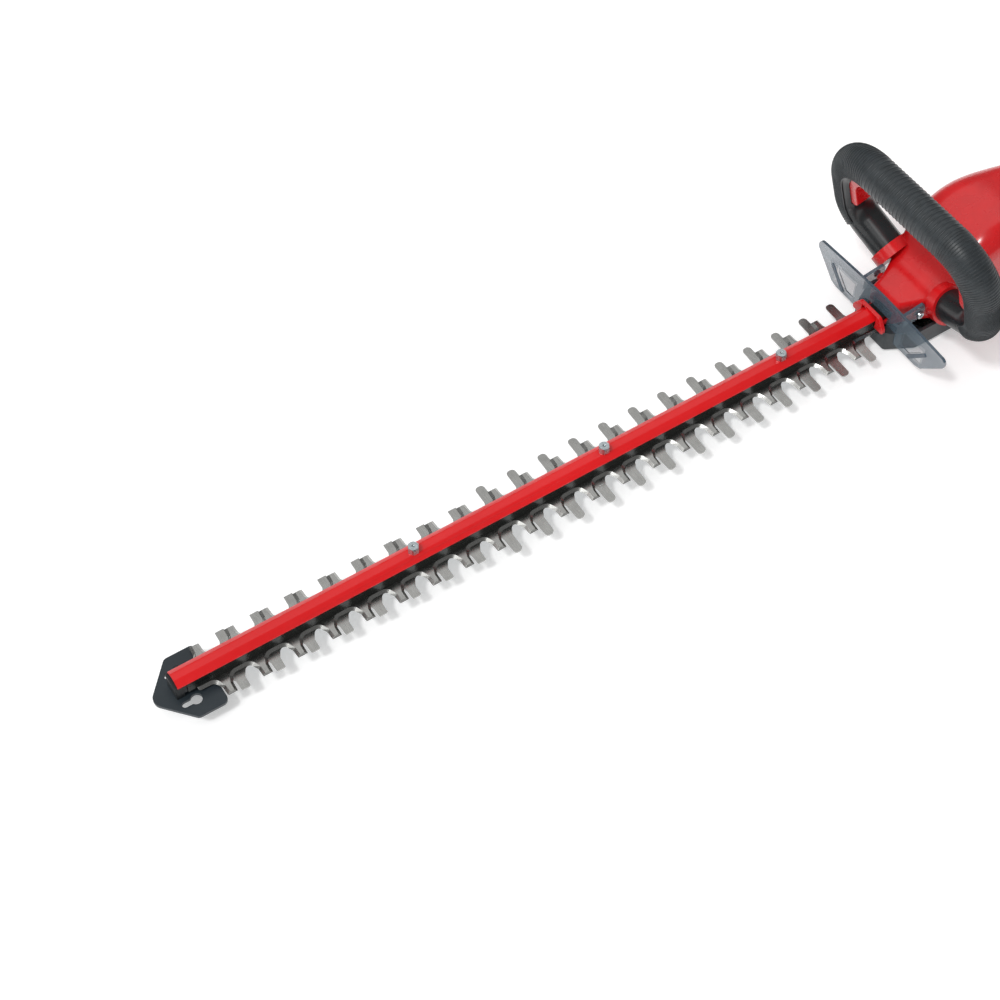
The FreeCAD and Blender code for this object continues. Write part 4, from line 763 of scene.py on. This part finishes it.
class TRIMMER_OT_blades(bpy.types.Operator):
    """Ground blades, with their rounded gullets smooth and their bevels crisp"""

    bl_idname = "trimmer.blades"
    bl_label = "Blades"

    def execute(self, context):
        for node in ("upper_blade", "lower_blade"):
            # Upright side faces take the "edge" finish, painted near-black: painted shade standing
            # in for the floor shadow and dark surroundings they reflect.
            refined(node, ["blade", "edge"], smooth_angle=25.0,
                    paint=lambda face: int(abs(face.normal.z) < PAINTED_SHADE_SIDE_TILT))
        return {"FINISHED"}


class TRIMMER_OT_carrier(bpy.types.Operator):
    """Anodised carrier bar with the rail and spacers under it"""

    bl_idname = "trimmer.carrier"
    bl_label = "Blade carrier"

    def execute(self, context):
        refined("blade_carrier", ["carrier"], edge=0.4 * MM)
        refined("lower_rail", ["zinc"], edge=0.15 * MM)
        paint_nodes("steel", "bar_spacers")
        return {"FINISHED"}


class TRIMMER_OT_bar_bolts(bpy.types.Operator):
    """Hexagon bolts through the cover, and their nuts under the rail"""

    bl_idname = "trimmer.bar_bolts"
    bl_label = "Bar bolts"

    def execute(self, context):
        look = context.scene.trimmer_bar
        boxes = solid_boxes("bar_bolts")
        low, high = boxes[0]
        corners = (high.x - low.x) / 2
        spots = [(((a.x + b.x) / 2, 0.0, b.z), (0.0, 0.0, 1.0)) for a, b in boxes]
        piece = grown("bar_bolts_heads", places("bolt_places", spots), tree_named(hexagon_bolts), {
            "Flats": corners * math.sqrt(3), "Head Height": BOLT_HEAD,
            "Chamfer": look.bolt_chamfer, "Dimple": look.bolt_dimple,
            "Shank Radius": BOLT_SHANK, "Shank Length": high.z - low.z - BOLT_HEAD},
            "zinc", "frame", smooth_angle=30.0)
        stand_for(piece, "bar_bolts")
        refined("bar_nuts", ["zinc"], edge=0.3 * MM)
        return {"FINISHED"}


class TRIMMER_OT_tip_guard(bpy.types.Operator):
    """Moulded tip plate with keyholes, the nose block on it and their screw"""

    bl_idname = "trimmer.tip_guard"
    bl_label = "Tip guard"

    def execute(self, context):
        refined("tip_guard", ["tip"], edge=context.scene.trimmer_bar.tip_edge, segments=3)
        refined("nose_block", ["black"], edge=0.5 * MM)
        refined("tip_screw", ["zinc"], edge=0.3 * MM)
        return {"FINISHED"}


class TRIMMER_OT_hand_guard(bpy.types.Operator):
    """Clear smoke guard with its thicker rim and ribs, the red collar in it and their screws"""

    bl_idname = "trimmer.hand_guard"
    bl_label = "Hand guard"

    def execute(self, context):
        sheet_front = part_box("hand_guard")[0].x + RIM_STAND
        sheet_back = sheet_front + SHEET_THICK
        cuts = [((0.0, 0.0, height), (0.0, 0.0, 1.0)) for height in PANE_HEIGHTS]
        cuts += [((0.0, side * reach, 0.0), (0.0, 1.0, 0.0))
                 for side in (-1, 1) for reach in PANE_REACHES]

        def thick(face):
            """0 for the thin pane, 1 for the sheet round it and the arms, 2 for rim and ribs."""
            middle = face.calc_center_median()
            if middle.x < sheet_front - 0.1 * MM or face.normal.z > 0.6:
                return 2
            if middle.x > sheet_back + 0.5 * MM:
                return 1
            inside = (PANE_HEIGHTS[0] < middle.z < PANE_HEIGHTS[1]
                      and PANE_REACHES[0] < abs(middle.y) < PANE_REACHES[1])
            return 0 if inside else 1

        refined("hand_guard", ["window", "smoke", "rim"], edge=0.25 * MM, paint=thick, cuts=cuts)
        refined("nose_collar", ["shell"], edge=0.6 * MM)
        screws = []
        for a, b in solid_boxes("guard_screws"):
            side = 1.0 if a.y > 0 else -1.0
            tip = b.y if side > 0 else a.y
            screws.append((((a.x + b.x) / 2, tip, (a.z + b.z) / 2), (0.0, side, 0.0)))
        cross_screw_heads("guard_screws", screws, 3.4 * MM, 1.8 * MM, 8 * MM)
        return {"FINISHED"}


class TRIMMER_OT_housing(bpy.types.Operator):
    """Gloss red housing halves with an eased seam, and the screws that hold them"""

    bl_idname = "trimmer.housing"
    bl_label = "Housing"

    def execute(self, context):
        for node in ("housing_left", "housing_right"):
            refined(node, ["shell"], edge=context.scene.trimmer_body.shell_edge)
        boxes = solid_boxes("housing_screws")
        screws = [(((a.x + b.x) / 2, a.y, (a.z + b.z) / 2), (0.0, -1.0, 0.0)) for a, b in boxes]
        shortest = min(b.y - a.y for a, b in boxes)
        head = 2 * MM
        cross_screw_heads("housing_screws", screws, 4 * MM, head, shortest - head)
        return {"FINISHED"}


class TRIMMER_OT_gearbox(bpy.types.Operator):
    """Sprayed castings of the gearbox and the rubber feet under them"""

    bl_idname = "trimmer.gearbox"
    bl_label = "Gearbox castings"

    def execute(self, context):
        refined("gearbox_tray", ["casting"], edge=0.8 * MM)
        refined("gearbox_bell", ["casting"], edge=0.4 * MM)
        refined("rubber_feet", ["rubber"], edge=0.5 * MM)
        refined("rear_foot", ["rubber"], edge=1.0 * MM)
        return {"FINISHED"}


class TRIMMER_OT_front_handle(bpy.types.Operator):
    """Black loop with its mould seam, ribbed soft grip and red switch bar"""

    bl_idname = "trimmer.front_handle"
    bl_label = "Front handle"

    def execute(self, context):
        body = context.scene.trimmer_body
        for node in ("front_handle_front_shell", "front_handle_back_shell"):
            refined(node, ["loop"], edge=body.handle_edge)
        refined("front_switch_paddle", ["shell"], edge=1.2 * MM, segments=3)
        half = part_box("front_handle_front_shell")[1].y - body.tube_radius
        grip_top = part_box("front_grip")[1].z
        top = (grip_top - LOOP_FOOT.z - body.sleeve_radius) / LOOP_UP.z
        sweep = 2 * math.acos(-GRIP_WRAP / body.sleeve_radius)
        line = loop_line(half, top, GRIP_STEP)
        band = swept_band(line, body.sleeve_radius - FINE_BEAD, body.tube_radius + GRIP_PLAY,
                          sweep)
        sleeve = new_piece("front_grip_sleeve", band, "frame", ["rubber"], smooth_angle=50.0)
        stand_for(sleeve, "front_grip")
        crossbar = [pair for pair in line if abs(pair[0].y) < half - LOOP_CORNER]
        left_leg = [pair for pair in line if pair[0].y > half - LOOP_CORNER]
        right_leg = [pair for pair in line if pair[0].y < LOOP_CORNER - half]
        for name, part, pitch, bead in (
                ("front_grip_left_ribs", left_leg, body.fine_rib, FINE_BEAD),
                ("front_grip_right_ribs", right_leg, body.fine_rib, FINE_BEAD),
                ("front_grip_cross_ribs", crossbar, body.coarse_rib, COARSE_BEAD)):
            ribs = self.ribbed(name, part, pitch, body.sleeve_radius - bead, bead, sweep)
        return {"FINISHED"}

    def ribbed(self, name, line, pitch, ring, bead, sweep):
        """Beads along one stretch of the grip."""
        mesh = bpy.data.meshes.new(name)
        edges = [(number, number + 1) for number in range(len(line) - 1)]
        mesh.from_pydata([spot for spot, _ in line], edges, [])
        outward = mesh.attributes.new("outward", "FLOAT_VECTOR", "POINT")
        for number, (_, way) in enumerate(line):
            outward.data[number].vector = way
        carrier = bpy.data.objects.new(name, mesh)
        return grown(name, carrier, tree_named(ribs_on_path), {
            "Pitch": pitch, "Ring Radius": ring, "Bead Radius": bead,
            "Sweep": sweep - BEAD_SHORT}, "rubber", "frame", smooth_angle=60.0)


class TRIMMER_OT_rear_handle(bpy.types.Operator):
    """Soft rear grip, trigger and lock-off button"""

    bl_idname = "trimmer.rear_handle"
    bl_label = "Rear handle"

    def execute(self, context):
        refined("rear_grip", ["rubber"], edge=0.5 * MM)
        refined("trigger", ["black"], edge=1.2 * MM, segments=3)
        refined("lock_off_button", ["black"], edge=0.8 * MM, segments=3)
        return {"FINISHED"}


class TRIMMER_OT_battery(bpy.types.Operator):
    """Battery case, latch and cells"""

    bl_idname = "trimmer.battery"
    bl_label = "Battery"

    def execute(self, context):
        for node in ("battery_case_upper", "battery_case_lower"):
            refined(node, ["black"], edge=0.8 * MM, segments=3)
        refined("battery_latch", ["shell"], edge=0.8 * MM, segments=3)
        paint_nodes("sleeve", "battery_cells")
        return {"FINISHED"}


class TRIMMER_OT_insides(bpy.types.Operator):
    """Real materials for the gears, motor, switches, springs and board"""

    bl_idname = "trimmer.insides"
    bl_label = "Inside parts"

    def execute(self, context):
        paint_nodes("steel", "crank_shaft", "drive_gear", "pinion", "crank_bearings",
                    "motor_can", "trigger_pin", "front_switch_springs", "trigger_spring",
                    "lock_off_spring")
        paint_nodes("zinc", "gearbox_screws")
        paint_nodes("iron", "rotor")
        paint_nodes("magnet", "motor_magnets")
        paint_nodes("black", "cooling_fan", "front_micro_switch", "main_switch",
                    "terminal_block")
        paint_nodes("carrier", "heat_sink")
        paint_nodes("board", "control_board")
        return {"FINISHED"}


KEY_AIM = Vector((0.6, 0.1, -1.0))
KEY_ANGLE = math.radians(9)
LAMP_DEPTH = 1.2
LAMP_AIM_LIMIT = -0.3
LAMP_PLACES = {
    "softbox": (3.4, (0.2, 0.7, 1.9)),
    "window": (2.2, (-2.6, 0.3, 1.9)),
    "fill": (2.2, (-1.2, -2.2, 1.3)),
}


class TRIMMER_OT_stage(bpy.types.Operator):
    """White floor, soft lamps and the camera"""

    bl_idname = "trimmer.stage"
    bl_label = "Stage"

    def execute(self, context):
        stage = context.scene.trimmer_stage
        self.floor(context, stage)
        self.surround(context, stage)
        self.lamps(context, stage)
        self.camera(context, stage)
        context.scene.view_settings.view_transform = "Standard"
        return {"FINISHED"}

    def floor(self, context, stage):
        """A square of paper just under the feet."""
        work = bmesh.new()
        bmesh.ops.create_grid(work, x_segments=1, y_segments=1, size=stage.floor_size / 2)
        mesh = bpy.data.meshes.new("floor")
        work.to_mesh(mesh)
        work.free()
        mesh.materials.append(floor_paper(stage))
        floor = bpy.data.objects.new("floor", mesh)
        context.scene.collection.objects.link(floor)

    def surround(self, context, stage):
        """An even white sky: plain white to the eye, and weaker in reflections."""
        world = bpy.data.worlds.new("studio")
        context.scene.world = world
        world.use_nodes = True
        tree = world.node_tree
        tree.nodes.clear()
        path = add(tree, "ShaderNodeLightPath")
        mirrored = add(tree, "ShaderNodeMapRange",
                       {"To Min": stage.sky, "To Max": 0.5 * stage.sky},
                       {"Value": path.outputs["Is Glossy Ray"]})
        strength = add(tree, "ShaderNodeMapRange", {"To Max": 1.0},
                       {"Value": path.outputs["Is Camera Ray"],
                        "To Min": mirrored.outputs["Result"]})
        back = add(tree, "ShaderNodeBackground", {"Color": (1.0, 1.0, 1.0, 1.0)},
                   {"Strength": strength.outputs["Result"]})
        add(tree, "ShaderNodeOutputWorld", links={"Surface": back.outputs["Background"]})

    def lamps(self, context, stage):
        """Key from the tip, softbox behind, window beyond the tip, fill in front."""
        key = bpy.data.lights.new("key", "SUN")
        key.energy = stage.key
        key.angle = KEY_ANGLE
        sun = bpy.data.objects.new("key", key)
        sun.rotation_euler = KEY_AIM.to_track_quat("-Z", "Y").to_euler()
        context.scene.collection.objects.link(sun)
        for name, (width, place) in LAMP_PLACES.items():
            box = bpy.data.lights.new(name, "AREA")
            box.shape = "RECTANGLE"
            box.size, box.size_y = width, LAMP_DEPTH
            box.energy = getattr(stage, name)
            lamp = bpy.data.objects.new(name, box)
            lamp.location = place
            target = Vector((max(place[0], LAMP_AIM_LIMIT), 0.0, 0.0))
            lamp.rotation_euler = (target - lamp.location).to_track_quat("-Z", "Y").to_euler()
            lamp.visible_glossy = name != "fill"
            context.scene.collection.objects.link(lamp)

    def camera(self, context, stage):
        """The camera, level, looking down on the bar from its near side."""
        data = bpy.data.cameras.new("camera")
        data.lens = stage.lens
        data.sensor_width = 36.0
        data.clip_start = 0.05
        data.clip_end = 50.0
        camera = bpy.data.objects.new("camera", data)
        camera.location = stage.stand
        camera.rotation_euler = (math.pi / 2 - stage.look_down, 0.0, -stage.heading)
        context.scene.collection.objects.link(camera)
        context.scene.camera = camera


class TRIMMER_PT_panel(bpy.types.Panel):
    """Lists the pieces and the properties they read"""

    bl_label = "Hedge trimmer"
    bl_idname = "TRIMMER_PT_panel"
    bl_space_type = "VIEW_3D"
    bl_region_type = "UI"
    bl_category = "Trimmer"

    def draw(self, context):
        for operator in OPERATORS:
            self.layout.operator(operator.bl_idname)
        for group in (context.scene.trimmer_bar, context.scene.trimmer_body,
                      context.scene.trimmer_stage):
            column = self.layout.column()
            for name in group.__annotations__:
                column.prop(group, name)


GROUPS = {"trimmer_bar": BarLook, "trimmer_body": BodyLook, "trimmer_stage": StageLook}
OPERATORS = (
    TRIMMER_OT_stage, TRIMMER_OT_bar_cover, TRIMMER_OT_blades, TRIMMER_OT_carrier,
    TRIMMER_OT_bar_bolts, TRIMMER_OT_tip_guard, TRIMMER_OT_hand_guard, TRIMMER_OT_housing,
    TRIMMER_OT_gearbox, TRIMMER_OT_front_handle, TRIMMER_OT_rear_handle, TRIMMER_OT_battery,
    TRIMMER_OT_insides,
)


def register():
    """Register the classes and hang the properties on the scene."""
    for item in (*GROUPS.values(), *OPERATORS, TRIMMER_PT_panel):
        bpy.utils.register_class(item)
    for name, group in GROUPS.items():
        setattr(bpy.types.Scene, name, PointerProperty(type=group))


def unregister():
    """Take the properties and classes away again."""
    for name in GROUPS:
        delattr(bpy.types.Scene, name)
    for item in (TRIMMER_PT_panel, *reversed(OPERATORS), *reversed(GROUPS.values())):
        bpy.utils.unregister_class(item)


def main():
    """Build every piece in order."""
    register()
    for operator in OPERATORS:
        space, name = operator.bl_idname.split(".")
        getattr(getattr(bpy.ops, space), name)()
    bpy.context.view_layer.update()


if __name__ == "__main__":
    main()
